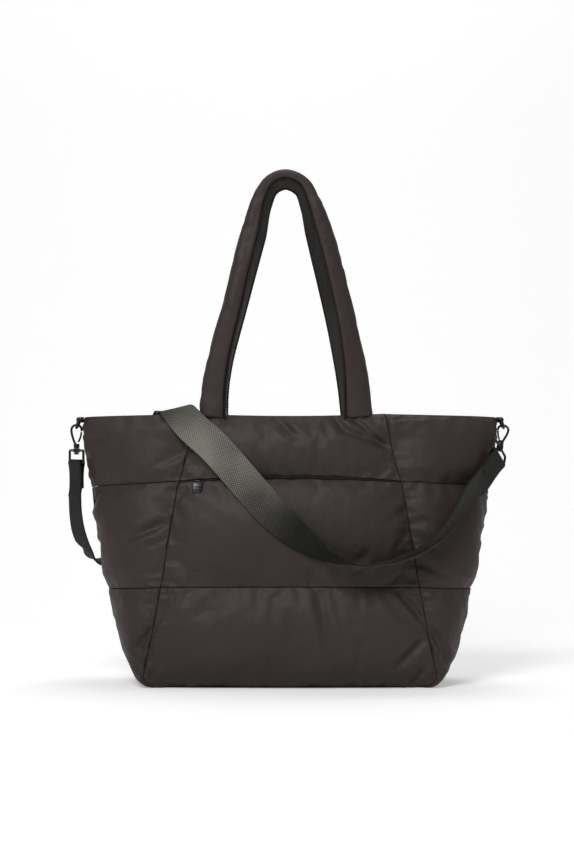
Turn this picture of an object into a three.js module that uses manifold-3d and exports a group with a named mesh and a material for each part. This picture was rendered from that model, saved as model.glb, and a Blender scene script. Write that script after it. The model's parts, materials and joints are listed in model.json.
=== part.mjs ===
// A padded nylon tote bag: eighteen quilted wall panels round an open mouth, a flat base,
// two padded handles, a zipped front pocket, and a webbing crossbody strap on two snap hooks.
// Millimetres, +Z up, +X to the right of someone facing the front, which looks along -Y.
// The origin is the middle of the base, on the floor.
import * as THREE from "three";
import { mergeVertices } from "three/addons/utils/BufferGeometryUtils.js";
import Module from "manifold-3d";

const wasm = await Module();
wasm.setup();

// Body
const BODY_HEIGHT = 312;
const TOP_HALF_WIDTH = 240;
const HALF_DEPTH = 76;
const WALL = 3;
const SEAM_GAP = 0.3;
const FIT_GAP = 0.3;
const HANG_GAP = 0.9;
const OUTER_SWELL = 13;
const INNER_SWELL = 4;
const WING_SWELL = 11;
const RIM_THICKNESS = 17;
const ROLL_RISE = 13;
const ROLL_SIDE = 26;
const ROLL_FRONT = 12;
const ROLL_SHARE = 0.24;
const CORNER_TURN = 22;
const POCKET_SLOT = 6;
const PILLOW_POWER = 2.6;
const SIDE_TAPER = 0.35;

// Handles
const HANDLE_RISE = 282;
const HANDLE_SPREAD = 167;
const HANDLE_OFFSET = -5;
const HANDLE_WIDTH = 36;
const HANDLE_LEAN = 0.4;
const HANDLE_WEB_WIDTH = 24;
const HANDLE_WEB_SHARE = 0.8;
const WEBBING_THICKNESS = 1.8;

// Strap and its metal
const STRAP_WIDTH = 38;
const RING_WIRE = 3;
const D_RING_WIDTH = 24;
const D_RING_DROP = 10.4;
const D_RING_LEAN = 20;
const TAB_WIDTH = 18;
const TAB_THICKNESS = 1.4;
const TAB_STAND_OFF = 1;
const TAB_BELOW_RIM = 3;
const HOOK_WIRE = 2.8;
const HOOK_BOW = 12;
const HOOK_LENGTH = 22;
const HOOK_NOSE = 1.5;
const GATE_WIRE = 2.24;
const HOOK_BARREL = 7;
const HOOK_BARREL_HEIGHT = 5;
const HOOK_POST = 3;
const HOOK_HEAD = 5.6;
const HOOK_HEAD_HEIGHT = 2;
const LOOP_WIRE = 3;
const LOOP_BOSS = 8;
const LOOP_HEIGHT = 14;
const LOOP_CORNER = 2;
const LOOP_SIDE_GAP = 1;
const LOOP_BOSS_HEIGHT = 5;
const STRAP_TAIL = 30;

// Zip
const ZIP_TAPE_THICKNESS = 1.2;
const ZIP_SLIDER = { width: 8, height: 5, thickness: 3, chamfer: 1 };
const ZIP_PULL = { width: 12, height: 14, thickness: 2.2, chamfer: 1.5 };
const ZIP_PULL_X = -0.44;

// Level sections of the body's middle surface, from the floor up. height is a share of
// BODY_HEIGHT, side and seam are half widths as shares of TOP_HALF_WIDTH, corner and belly are
// half depths at the slanted seam and at the middle as shares of HALF_DEPTH, and round is the
// exponent of the curve from the slanted seam to the side seam.
const SECTIONS = [
  { height: 0.045, side: 0.722, seam: 0.699, corner: 0.8, belly: 0.87, round: 2 },
  { height: 0.14, side: 0.79, seam: 0.671, corner: 0.88, belly: 0.96, round: 2 },
  { height: 0.25, side: 0.838, seam: 0.642, corner: 0.92, belly: 1.0, round: 2 },
  { height: 0.358, side: 0.874, seam: 0.617, corner: 0.92, belly: 1.0, round: 1.95 },
  { height: 0.41, side: 0.897, seam: 0.604, corner: 0.91, belly: 1.0, round: 1.9 },
  { height: 0.525, side: 0.92, seam: 0.582, corner: 0.88, belly: 0.98, round: 1.8 },
  { height: 0.635, side: 0.948, seam: 0.558, corner: 0.82, belly: 0.93, round: 1.7 },
  { height: 0.732, side: 0.96, seam: 0.537, corner: 0.75, belly: 0.88, round: 1.65 },
  { height: 0.811, side: 0.981, seam: 0.508, corner: 0.7, belly: 0.82, round: 1.6 },
  { height: 0.917, side: 1.0, seam: 0.472, corner: 0.6, belly: 0.71, round: 1.5 },
  { height: 1.0, side: 1.0, seam: 0.446, corner: 0.55, belly: 0.63, round: 1.5 },
];

// Heights of the level seams, as shares of BODY_HEIGHT, at the middle of the front, at the
// slanted seams and at the side seams.
const SEAMS = {
  lower: { middle: 0.375, corner: 0.372, side: 0.356 },
  upper: { middle: 0.78, corner: 0.76, side: 0.731 },
  rim: { middle: 1.0, corner: 1.008, side: 0.995 },
};

// Rows up each band as shares of its height.
const BANDS = {
  lower: { from: null, to: SEAMS.lower, rows: [0, 0.08, 0.16, 0.24, 0.36, 0.52, 0.7, 0.87, 1] },
  middle: { from: SEAMS.lower, to: SEAMS.upper, rows: [0, 0.1, 0.26, 0.45, 0.64, 0.82, 0.93, 1] },
  upper: { from: SEAMS.upper, to: SEAMS.rim, rows: [0, 0.12, 0.3, 0.52, 0.74, 0.9, 0.97, 1] },
};
const CENTRE_COLUMNS = 13;
const WING_COLUMNS = 7;

// Main creases pressed into the padding. Each runs from across, up to toX, toUp, as shares of the
// panel. depth is a share of the panel's swell, and width the crease's half width, as a share of
// the panel.
const CREASES = [
  { panel: "front_upper_centre", across: 0.42, up: 0.95, toX: 0.5, toUp: 0.55, depth: 0.4, width: 0.05 },
  { panel: "front_upper_centre", across: 0.72, up: 0.85, toX: 0.97, toUp: 0.6, depth: 0.45, width: 0.06 },
  { panel: "front_middle_centre", across: 0.95, up: 0.9, toX: 0.8, toUp: 0.6, depth: 0.4, width: 0.06 },
  { panel: "front_middle_centre", across: 0.52, up: 0.02, toX: 0.6, toUp: 0.25, depth: 0.45, width: 0.06 },
  { panel: "front_middle_left", across: 0.1, up: 0.3, toX: 0.6, toUp: 0.18, depth: 0.45, width: 0.08 },
  { panel: "front_lower_centre", across: 0.62, up: 0.98, toX: 0.64, toUp: 0.3, depth: 0.4, width: 0.05 },
  { panel: "front_lower_centre", across: 0.82, up: 0.98, toX: 0.95, toUp: 0.62, depth: 0.45, width: 0.06 },
  { panel: "front_lower_centre", across: 0.86, up: 0.24, toX: 0.97, toUp: 0.55, depth: 0.5, width: 0.06 },
  { panel: "front_lower_left", across: 0.1, up: 0.95, toX: 0.45, toUp: 0.6, depth: 0.45, width: 0.1 },
  { panel: "front_lower_right", across: 0.1, up: 0.75, toX: 0.5, toUp: 0.4, depth: 0.45, width: 0.1 },
];

// Handle stations from the left leg over the top to the right leg. across is a share of half of
// HANDLE_SPREAD, up a share of HANDLE_RISE, seen and deep are the tube's width in the picture
// plane and front to back as shares of HANDLE_WIDTH, and twist turns it, in degrees. The tube's flat
// sides are drawn a little far out, by HANDLE_FACET, so that they lie about the round shape.
const HANDLE = [
  { across: -1.02, up: -0.012, seen: 0.93, deep: 0.6, twist: 0 },
  { across: -0.995, up: 0.09, seen: 0.83, deep: 0.72, twist: 0 },
  { across: -0.915, up: 0.24, seen: 0.78, deep: 0.9, twist: 4 },
  { across: -0.735, up: 0.445, seen: 0.75, deep: 1.0, twist: 8 },
  { across: -0.605, up: 0.595, seen: 0.73, deep: 1.0, twist: 14 },
  { across: -0.455, up: 0.76, seen: 0.72, deep: 1.0, twist: 16 },
  { across: -0.345, up: 0.88, seen: 0.54, deep: 1.0, twist: 16 },
  { across: -0.205, up: 0.955, seen: 0.42, deep: 1.0, twist: 14 },
  { across: 0.0, up: 0.98, seen: 0.4, deep: 1.0, twist: 12 },
  { across: 0.225, up: 0.95, seen: 0.42, deep: 1.0, twist: 14 },
  { across: 0.36, up: 0.87, seen: 0.54, deep: 1.0, twist: 18 },
  { across: 0.455, up: 0.78, seen: 0.69, deep: 1.0, twist: 24 },
  { across: 0.56, up: 0.67, seen: 0.75, deep: 1.0, twist: 28 },
  { across: 0.69, up: 0.52, seen: 0.79, deep: 1.0, twist: 28 },
  { across: 0.825, up: 0.35, seen: 0.84, deep: 0.92, twist: 26 },
  { across: 0.945, up: 0.16, seen: 0.93, deep: 0.76, twist: 18 },
  { across: 1.01, up: -0.012, seen: 1.0, deep: 0.6, twist: 6 },
];
const HANDLE_FACET = { seen: 1.08, deep: 1.05 };
const HANDLE_SIDES = 10;
const HANDLE_STEPS = 30;

// The strap's route from the right loop across the front, over the mouth, round the back and the
// left side to the left loop. Each point lies off the skin that is met from the named side: x, y
// and z are shares of TOP_HALF_WIDTH, HALF_DEPTH and BODY_HEIGHT, and off is the distance from the
// skin to the strap's middle as a share of STRAP_WIDTH. wide gives the way that its width points.
const ROUTE = [
  { from: "front", x: 0.87, z: 0.725, off: 0.44, wide: [0.3, 0.88, -0.32] },
  { from: "front", x: 0.8, z: 0.648, off: 0.48, wide: [0.27, 0.92, -0.27] },
  { from: "front", x: 0.72, z: 0.575, off: 0.5, wide: [0.22, 0.95, -0.22] },
  { from: "front", x: 0.61, z: 0.512, off: 0.52, wide: [0.15, 0.97, -0.18] },
  { from: "front", x: 0.47, z: 0.472, off: 0.53, wide: [0.06, 0.99, -0.1] },
  { from: "front", x: 0.33, z: 0.46, off: 0.53, wide: [-0.03, 0.99, -0.05] },
  { from: "front", x: 0.2, z: 0.487, off: 0.47, wide: [-0.2, 0.9, -0.3] },
  { from: "front", x: 0.06, z: 0.552, off: 0.3, wide: [-0.5, 0.6, -0.6] },
  { from: "front", x: -0.08, z: 0.645, off: 0.18, wide: [-0.7, 0.25, -0.65] },
  { from: "front", x: -0.17, z: 0.72, off: 0.15, wide: [-0.76, 0.1, -0.64] },
  { from: "front", x: -0.36, z: 0.885, off: 0.14, wide: [-0.78, 0, -0.62] },
  { from: "front", x: -0.462, z: 0.955, off: 0.19, wide: [-0.86, 0, -0.48] },
  { from: "top", x: -0.545, y: -0.52, off: 0.115, wide: [-0.95, -0.1, -0.28] },
  { from: "mouth", x: -0.57, y: 0.0, z: 1.007, wide: [-0.99, -0.1, 0] },
  { from: "top", x: -0.6, y: 0.6, off: 0.1, wide: [-0.99, -0.1, 0.05] },
  { from: "back", x: -0.64, z: 0.92, off: 0.19, wide: [-0.99, -0.1, 0.15] },
  { from: "back", x: -0.68, z: 0.8, off: 0.18, wide: [-0.98, 0, 0.2] },
  { from: "back", x: -0.74, z: 0.65, off: 0.22, wide: [-0.97, 0.1, 0.2] },
  { from: "back", x: -0.795, z: 0.52, off: 0.36, wide: [-0.96, 0.2, 0.15] },
  { from: "back", x: -0.835, z: 0.45, off: 0.46, wide: [-0.8, 0.6, 0] },
  { from: "left", y: 0.46, z: 0.44, off: 0.42, wide: [-0.28, 0.95, 0.1] },
  { from: "left", y: 0.24, z: 0.495, off: 0.4, wide: [-0.42, 0.9, 0.02] },
  { from: "left", y: 0.1, z: 0.56, off: 0.58, wide: [-0.47, 0.88, 0] },
  { from: "left", y: 0.03, z: 0.63, off: 0.63, wide: [-0.46, 0.89, 0] },
  { from: "left", y: -0.02, z: 0.69, off: 0.56, wide: [-0.46, 0.89, 0] },
];
const STRAP_STEPS = 110;
const STRAP_CLEARANCE = 1.5;
const STRAP_EASE = 1.1;

const NYLON = new THREE.MeshStandardMaterial({ color: 0x463c3a, roughness: 0.55, metalness: 0 });
const WEBBING = new THREE.MeshStandardMaterial({ color: 0x37372f, roughness: 0.6, metalness: 0 });
const METAL = new THREE.MeshStandardMaterial({ color: 0x17171a, roughness: 0.35, metalness: 0.8 });
const ZIP_CLOTH = new THREE.MeshStandardMaterial({ color: 0x1d1a1a, roughness: 0.8, metalness: 0 });

const group = new THREE.Group();
const vec = (x, y, z) => new THREE.Vector3(x, y, z);
const radians = THREE.MathUtils.degToRad;

function addPiece(name, geometry, material, parent = group) {
  const mesh = new THREE.Mesh(geometry, material);
  mesh.name = name;
  parent.add(mesh);
  return mesh;
}

// Straight-line reading of one column of a table.
function readTable(rows, key, at, column) {
  let upper = rows.findIndex((row) => row[key] >= at);
  if (upper === 0) return rows[0][column];
  if (upper < 0) upper = rows.length - 1;
  const low = rows[upper - 1];
  const high = rows[upper];
  const share = (at - low[key]) / (high[key] - low[key]);
  return THREE.MathUtils.lerp(low[column], high[column], share);
}

// A closed geometry from corners and faces, turned so that its faces point out.
function closedGeometry(corners, faces) {
  let volume = 0;
  for (const [a, b, c] of faces) {
    volume += corners[a].dot(corners[b].clone().cross(corners[c]));
  }
  const outward = volume > 0 ? faces : faces.map(([a, b, c]) => [a, c, b]);
  const geometry = new THREE.BufferGeometry();
  const numbers = corners.flatMap((corner) => corner.toArray());
  geometry.setAttribute("position", new THREE.Float32BufferAttribute(numbers, 3));
  geometry.setIndex(outward.flat());
  geometry.computeVertexNormals();
  return geometry;
}

// Joins equal rings of corners into a solid. A closed one runs back into its own start.
function loft(rings, closed = false) {
  const count = rings[0].length;
  const faces = [];
  const last = closed ? rings.length : rings.length - 1;
  for (let i = 0; i < last; i += 1) {
    const here = i * count;
    const next = ((i + 1) % rings.length) * count;
    for (let j = 0; j < count; j += 1) {
      const k = (j + 1) % count;
      faces.push([here + j, here + k, next + k], [here + j, next + k, next + j]);
    }
  }
  if (!closed) {
    const end = (rings.length - 1) * count;
    for (let j = 1; j < count - 1; j += 1) {
      faces.push([0, j + 1, j], [end, end + j, end + j + 1]);
    }
  }
  return closedGeometry(rings.flat(), faces);
}

// Section of the body at a height.
function bodySection(height) {
  const read = (column) => readTable(SECTIONS, "height", height / BODY_HEIGHT, column);
  return {
    side: read("side") * TOP_HALF_WIDTH,
    seam: read("seam") * TOP_HALF_WIDTH,
    corner: read("corner") * HALF_DEPTH,
    belly: read("belly") * HALF_DEPTH,
    round: read("round"),
  };
}

// Height of a level seam: wing is 0 on the centre panels, and -1 or 1 left or right of them.
function seamHeight(seam, wing, across) {
  const share = wing === 0
    ? seam.middle + (seam.corner - seam.middle) * (2 * across - 1) ** 2
    : seam.corner + (seam.side - seam.corner) * across;
  return share * BODY_HEIGHT;
}

// A place on the middle surface of the wall, with the directions out of the wall, along it and
// up it. across runs over the panel, on a wing from the slanted seam to the side seam.
function wallPlace(bandName, face, wing, across, up) {
  const band = BANDS[bandName];
  const top = seamHeight(band.to, wing, across);
  let height;
  let roll = 0;
  if (band.from) {
    const bottom = seamHeight(band.from, wing, across);
    height = bottom + (top - bottom) * up;
  } else if (up < ROLL_SHARE) {
    roll = radians(90 * (1 - up / ROLL_SHARE));
    height = WALL / 2 + ROLL_RISE * (1 - Math.sin(roll));
  } else {
    const bottom = WALL / 2 + ROLL_RISE;
    height = bottom + (top - bottom) * (up - ROLL_SHARE) / (1 - ROLL_SHARE);
  }
  const at = bodySection(height);
  let x;
  let y;
  let turn;
  if (wing === 0) {
    const q = 2 * across - 1;
    x = at.seam * q;
    y = at.belly + (at.corner - at.belly) * q * q;
    turn = radians(CORNER_TURN * q ** 3);
  } else {
    const power = 2 / at.round;
    const angle = across * Math.PI / 2;
    x = wing * (at.seam + (at.side - at.seam) * Math.sin(angle) ** power);
    y = at.corner * Math.max(Math.cos(angle), 0) ** power;
    turn = wing * radians(CORNER_TURN + (90 - CORNER_TURN) * across);
  }
  const tuck = 1 - Math.cos(roll);
  x *= 1 - tuck * ROLL_SIDE / at.side;
  y *= 1 - tuck * ROLL_FRONT / at.belly;
  const level = vec(Math.sin(turn), face * Math.cos(turn), 0);
  const out = level.clone().multiplyScalar(Math.cos(roll)).add(vec(0, 0, -Math.sin(roll)));
  const climb = level.clone().multiplyScalar(Math.sin(roll)).add(vec(0, 0, Math.cos(roll)));
  const along = vec(Math.cos(turn), -face * Math.sin(turn), 0);
  return { point: vec(x, face * y, height), out, along, climb, top };
}

// How far the padding swells between its seams, from 0 at a seam to 1.
const pillow = (share) => 1 - Math.abs(2 * share - 1) ** PILLOW_POWER;

function creaseShare(name, across, up) {
  let pressed = 0;
  for (const crease of CREASES) {
    if (crease.panel !== name) continue;
    const dx = crease.toX - crease.across;
    const dy = crease.toUp - crease.up;
    const along = ((across - crease.across) * dx + (up - crease.up) * dy) / (dx * dx + dy * dy);
    const t = THREE.MathUtils.clamp(along, 0, 1);
    const gap = Math.hypot(across - crease.across - t * dx, up - crease.up - t * dy);
    pressed = Math.max(pressed, crease.depth * Math.exp(-((gap / crease.width) ** 2)));
  }
  return pressed;
}

// Half thickness of the wall at a place, on its outer or inner side.
function halfThickness(name, bandName, wing, across, up, drop, swell) {
  const acrossSwell = wing === 0 ? pillow(across) : pillow(across) * (1 - SIDE_TAPER * across);
  const upSwell = bandName === "upper" && up > 0.5 ? 1 : pillow(up);
  let thickness = WALL / 2 + swell * acrossSwell * upSwell * (1 - creaseShare(name, across, up));
  if (bandName !== "upper") return thickness;
  const rim = RIM_THICKNESS / 2;
  const rimStart = THREE.MathUtils.smoothstep(up, 0.3, 0.85);
  const rimEnds = wing === 0 ? 1 : 1 - across ** 3;
  const edge = THREE.MathUtils.lerp(WALL / 2, rim, rimStart * rimEnds);
  const body = THREE.MathUtils.lerp(thickness, edge, THREE.MathUtils.smoothstep(up, 0.5, 0.9));
  thickness = Math.max(body, edge);
  if (drop < rim) {
    thickness *= Math.max(Math.sqrt(1 - (1 - drop / rim) ** 2), 0.3);
  }
  return thickness;
}

function columnShares(wing) {
  const count = wing === 0 ? CENTRE_COLUMNS : WING_COLUMNS;
  return Array.from({ length: count + 1 }, (_, i) => {
    const even = i / count;
    const eased = 0.5 - 0.5 * Math.cos(Math.PI * even);
    return THREE.MathUtils.lerp(even, eased, 0.6);
  });
}

// One padded wall panel. grow makes it larger all round, for cutting its neighbours.
function paddedPanel(name, bandName, face, wing, grow = 0) {
  const band = BANDS[bandName];
  const shares = columnShares(wing);
  const pocketEdge = name === "front_middle_centre";
  const outer = [];
  const inner = [];
  for (const up of band.rows) {
    for (const across of shares) {
      const place = wallPlace(bandName, face, wing, across, up);
      const { point, out, along, climb } = place;
      const pull = SEAM_GAP / 2 - grow;
      const side = wing === 0 ? 1 : wing;
      if (across === 0) point.addScaledVector(along, side * pull);
      if (across === 1) point.addScaledVector(along, -side * pull);
      if (up === 0) point.addScaledVector(climb, pull);
      if (up === 1) point.addScaledVector(climb, pocketEdge ? -POCKET_SLOT : -pull);
      const drop = Math.max(place.top - point.z, 0);
      const swell = wing === 0 ? OUTER_SWELL : WING_SWELL;
      const outside = halfThickness(name, bandName, wing, across, up, drop, swell) + grow;
      const inside = halfThickness(name, bandName, wing, across, up, drop, INNER_SWELL) + grow;
      const skin = point.clone().addScaledVector(out, outside);
      skin.z = Math.max(skin.z, 0);
      outer.push(skin);
      inner.push(point.clone().addScaledVector(out, -inside));
    }
  }
  return closedSheet(outer, inner, shares.length, band.rows.length);
}

// A solid between two equal grids of corners.
function closedSheet(outer, inner, columns, rows) {
  const faces = [];
  const shift = outer.length;
  const quad = (a, b, c, d) => faces.push([a, b, c], [a, c, d]);
  for (let r = 0; r < rows - 1; r += 1) {
    for (let c = 0; c < columns - 1; c += 1) {
      const a = r * columns + c;
      const b = a + columns;
      quad(a, a + 1, b + 1, b);
      quad(shift + a, shift + b, shift + b + 1, shift + a + 1);
    }
  }
  const rim = (a, b, turned) => {
    if (turned) faces.push([a, shift + b, shift + a], [a, b, shift + b]);
    else faces.push([a, shift + a, shift + b], [a, shift + b, b]);
  };
  for (let c = 0; c < columns - 1; c += 1) {
    rim(c, c + 1, false);
    rim((rows - 1) * columns + c, (rows - 1) * columns + c + 1, true);
  }
  for (let r = 0; r < rows - 1; r += 1) {
    rim(r * columns + columns - 1, (r + 2) * columns - 1, false);
    rim(r * columns, (r + 1) * columns, true);
  }
  return closedGeometry([...outer, ...inner], faces);
}

// The eighteen wall panels
const walls = [];
const FACES = { front: -1, back: 1 };
const WINGS = { centre: 0, left: -1, right: 1 };
for (const [faceName, face] of Object.entries(FACES)) {
  for (const bandName of Object.keys(BANDS)) {
    for (const [wingName, wing] of Object.entries(WINGS)) {
      const name = `${faceName}_${bandName}_${wingName}`;
      walls.push(addPiece(name, paddedPanel(name, bandName, face, wing), NYLON));
    }
  }
}

// The flat base, inside the bottom edges of the lower panels
const baseOutline = [];
const BASE_EDGES = [
  { wing: 0, face: -1, reverse: false },
  { wing: 1, face: -1, reverse: false },
  { wing: 1, face: 1, reverse: true },
  { wing: 0, face: 1, reverse: true },
  { wing: -1, face: 1, reverse: false },
  { wing: -1, face: -1, reverse: true },
];
for (const { wing, face, reverse } of BASE_EDGES) {
  const shares = columnShares(wing).slice(0, -1).map((share) => (reverse ? 1 - share : share));
  for (const across of shares) {
    const place = wallPlace("lower", face, wing, across, 0);
    place.point.addScaledVector(place.climb, -SEAM_GAP / 2);
    baseOutline.push(new THREE.Vector2(place.point.x, place.point.y));
  }
}
const baseShape = new THREE.Shape(baseOutline);
addPiece("base_panel", new THREE.ExtrudeGeometry(baseShape, { depth: WALL, bevelEnabled: false }), NYLON);

// Casts a line and gives the first point where it meets the padded walls.
const caster = new THREE.Raycaster();
const skins = [...walls];
function skinPoint(origin, direction) {
  caster.set(origin, direction);
  return caster.intersectObjects(skins, false)[0]?.point ?? null;
}
group.updateMatrixWorld(true);

// Front pocket: the slot between the upper and the middle front panel, closed by a zip
const slotPlaces = columnShares(0).map((across) => {
  const place = wallPlace("middle", -1, 0, across, 1);
  const end = across === 0 ? 1 : -1;
  if (across === 0 || across === 1) place.point.addScaledVector(place.along, end * (SEAM_GAP / 2 + FIT_GAP));
  return place;
});
const zipRings = slotPlaces.map(({ point, out, climb }) => {
  const corner = (rise, depth) => point.clone().addScaledVector(climb, rise).addScaledVector(out, depth);
  const half = ZIP_TAPE_THICKNESS / 2;
  const top = -SEAM_GAP / 2 - FIT_GAP;
  const bottom = -POCKET_SLOT + FIT_GAP;
  return [corner(bottom, -half), corner(bottom, half), corner(top, half), corner(top, -half)];
});
skins.push(addPiece("zip_tape", loft(zipRings), ZIP_CLOTH));

// A block with its long edges chamfered, its middle at the origin.
function chamferedBlock({ width, height, thickness, chamfer }) {
  const w = width / 2;
  const h = height / 2;
  const shape = new THREE.Shape([
    new THREE.Vector2(-w + chamfer, -h), new THREE.Vector2(w - chamfer, -h),
    new THREE.Vector2(w, -h + chamfer), new THREE.Vector2(w, h - chamfer),
    new THREE.Vector2(w - chamfer, h), new THREE.Vector2(-w + chamfer, h),
    new THREE.Vector2(-w, h - chamfer), new THREE.Vector2(-w, -h + chamfer),
  ]);
  const block = new THREE.ExtrudeGeometry(shape, { depth: thickness, bevelEnabled: false });
  return block.translate(0, 0, -thickness / 2).rotateX(Math.PI / 2);
}

// Slider on the tape and the pull that hangs from it and rests on the padding
const pullX = ZIP_PULL_X * TOP_HALF_WIDTH;
const slotAcross = 0.5 + pullX / (2 * bodySection(SEAMS.upper.corner * BODY_HEIGHT).seam);
const sliderPlace = wallPlace("middle", -1, 0, slotAcross, 1);
const slotMiddle = sliderPlace.point.clone().addScaledVector(sliderPlace.climb, -POCKET_SLOT / 2);
const sliderOut = ZIP_TAPE_THICKNESS / 2 + FIT_GAP + ZIP_SLIDER.thickness / 2;
const tapeRun = wallPlace("middle", -1, 0, slotAcross + 0.02, 1).point
  .sub(wallPlace("middle", -1, 0, slotAcross - 0.02, 1).point);
const slider = addPiece(
  "zip_slider",
  chamferedBlock(ZIP_SLIDER),
  METAL,
);
slider.position.copy(slotMiddle).addScaledVector(sliderPlace.out, sliderOut);
slider.rotation.z = Math.atan2(tapeRun.y, tapeRun.x);
const pullTopY = slider.position.y - ZIP_SLIDER.thickness / 2 - 2 * FIT_GAP - ZIP_PULL.thickness / 2;
const reach = [0.25, 0.5, 0.75, 1].map((share) => {
  const drop = share * ZIP_PULL.height;
  const hits = [-0.5, 0, 0.5].map((side) => skinPoint(
    vec(slider.position.x + side * ZIP_PULL.width, -3 * HALF_DEPTH, slider.position.z - drop),
    vec(0, 1, 0),
  ).y);
  return (pullTopY + ZIP_PULL.thickness / 2 - Math.min(...hits) + FIT_GAP) / drop;
});
const pullTilt = Math.atan(Math.max(0, ...reach));
const pull = addPiece(
  "zip_pull",
  chamferedBlock(ZIP_PULL).translate(0, 0, -ZIP_PULL.height / 2),
  METAL,
);
pull.position.set(slider.position.x, pullTopY, slider.position.z);
pull.rotation.x = -pullTilt;

// Handles: padded tubes, flat on the inner side, each with a strip of webbing along that side
function handleStations(face) {
  const places = HANDLE.map((row) => {
    const x = HANDLE_OFFSET + row.across * HANDLE_SPREAD / 2;
    const q = x / bodySection(BODY_HEIGHT).seam;
    const rim = Math.abs(wallPlace("upper", face, 0, (q + 1) / 2, 1).point.y);
    const y = THREE.MathUtils.lerp(rim, HANDLE_LEAN * HALF_DEPTH, Math.max(row.up, 0));
    return vec(x, face * y, BODY_HEIGHT + row.up * HANDLE_RISE);
  });
  const curve = new THREE.CatmullRomCurve3(places, false, "centripetal");
  return Array.from({ length: HANDLE_STEPS + 1 }, (_, i) => {
    const t = i / HANDLE_STEPS;
    const row = t * (HANDLE.length - 1);
    const low = Math.min(Math.floor(row), HANDLE.length - 2);
    const mix = (column) => THREE.MathUtils.lerp(HANDLE[low][column], HANDLE[low + 1][column], row - low);
    const ahead = curve.getTangent(t);
    const front = vec(0, 1, 0).addScaledVector(ahead, -ahead.y).normalize();
    const out = ahead.clone().cross(front).normalize();
    const turn = radians(mix("twist")) * face;
    front.applyAxisAngle(ahead, turn);
    out.applyAxisAngle(ahead, turn);
    return {
      point: curve.getPoint(t),
      out,
      front,
      seen: mix("seen") * HANDLE_WIDTH / 2,
      deep: mix("deep") * HANDLE_WIDTH / 2,
    };
  });
}

function handleTube(stations) {
  const lip = WEBBING_THICKNESS + 2 * FIT_GAP;
  return loft(stations.map(({ point, out, front, seen, deep }) => (
    Array.from({ length: HANDLE_SIDES }, (_, i) => {
      const angle = (i + 0.5) / HANDLE_SIDES * 2 * Math.PI;
      const flat = Math.max(Math.cos(angle) * seen * HANDLE_FACET.seen, -seen + lip);
      const side = Math.sin(angle) * deep * HANDLE_FACET.deep;
      return point.clone().addScaledVector(out, flat).addScaledVector(front, side);
    })
  )));
}

function handleWebbing(stations) {
  return loft(stations.map(({ point, out, front, seen, deep }) => {
    const half = Math.min(HANDLE_WEB_WIDTH / 2, deep * HANDLE_WEB_SHARE);
    const corner = (depth, side) => point.clone()
      .addScaledVector(out, -seen + depth)
      .addScaledVector(front, side * half);
    return [corner(0, -1), corner(0, 1), corner(WEBBING_THICKNESS, 1), corner(WEBBING_THICKNESS, -1)];
  }));
}

// A solid for cutting and joining, and back again.
function toSolid(geometry) {
  const bare = geometry.clone();
  bare.deleteAttribute("normal");
  bare.deleteAttribute("uv");
  const merged = mergeVertices(bare, 1e-4);
  return new wasm.Manifold(new wasm.Mesh({
    numProp: 3,
    vertProperties: Float32Array.from(merged.attributes.position.array),
    triVerts: Uint32Array.from(merged.index.array),
  }));
}

function fromSolid(solid) {
  const mesh = solid.getMesh();
  const geometry = new THREE.BufferGeometry();
  geometry.setAttribute("position", new THREE.BufferAttribute(mesh.vertProperties, 3));
  geometry.setIndex(new THREE.BufferAttribute(mesh.triVerts, 1));
  geometry.computeVertexNormals();
  return geometry;
}

for (const [name, face] of [["front", -1], ["rear", 1]]) {
  const stations = handleStations(face);
  const side = face < 0 ? "front" : "back";
  let tube = toSolid(handleTube(stations));
  let strip = toSolid(handleWebbing(stations));
  for (const [wingName, wing] of Object.entries(WINGS)) {
    const rim = toSolid(paddedPanel(`${side}_upper_${wingName}`, "upper", face, wing, FIT_GAP));
    tube = tube.subtract(rim);
    strip = strip.subtract(rim);
  }
  addPiece(`${name}_handle`, fromSolid(tube), NYLON);
  addPiece(`${name}_handle_webbing`, fromSolid(strip), WEBBING);
}

// Wire bent along points in one plane. normal is the plane's own direction.
function wire(points, radius, normal, sides, closed = false) {
  return loft(points.map((point, i) => {
    const before = points[closed ? (i + points.length - 1) % points.length : Math.max(i - 1, 0)];
    const after = points[closed ? (i + 1) % points.length : Math.min(i + 1, points.length - 1)];
    const side = after.clone().sub(before).normalize().cross(normal);
    return Array.from({ length: sides }, (_, k) => {
      const angle = (k + 0.5) / sides * 2 * Math.PI;
      return point.clone()
        .addScaledVector(normal, radius * Math.cos(angle))
        .addScaledVector(side, radius * Math.sin(angle));
    });
  }), closed);
}

function rod(diameter, top, bottom, sides = 12) {
  const cylinder = new THREE.CylinderGeometry(diameter / 2, diameter / 2, top - bottom, sides);
  return cylinder.rotateX(Math.PI / 2).translate(0, 0, (top + bottom) / 2);
}

function flatStrip(stations, width, thickness) {
  return loft(stations.map(({ point, wide, thick }) => {
    const corner = (side, face) => point.clone()
      .addScaledVector(wide, side * width / 2)
      .addScaledVector(thick, face * thickness / 2);
    return [corner(-1, -1), corner(1, -1), corner(1, 1), corner(-1, 1)];
  }));
}

// A strip folded round a bar, as places in the bar's own frame: x is across the fold, z runs
// back along the strip from the bar at 0. gap is between the two layers at the far end.
function foldPlaces(barRadius, thickness, tail, gap) {
  const turn = barRadius + FIT_GAP + thickness / 2;
  const close = (thickness + gap) / 2;
  const arc = [0, 30, 60, 90, 120, 150, 180].map((degrees) => {
    const angle = radians(degrees);
    return vec(turn * Math.cos(angle), 0, turn * Math.sin(angle));
  });
  const leg = (side, depth, far) => vec(side * THREE.MathUtils.lerp(turn, close, far), 0, -depth);
  return [
    leg(1, tail, 1), leg(1, 0.45 * tail, 1), leg(1, 0.2 * tail, 0.6),
    ...arc,
    leg(-1, 0.2 * tail, 0.6), leg(-1, 0.45 * tail, 1), leg(-1, tail, 1),
  ];
}

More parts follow.
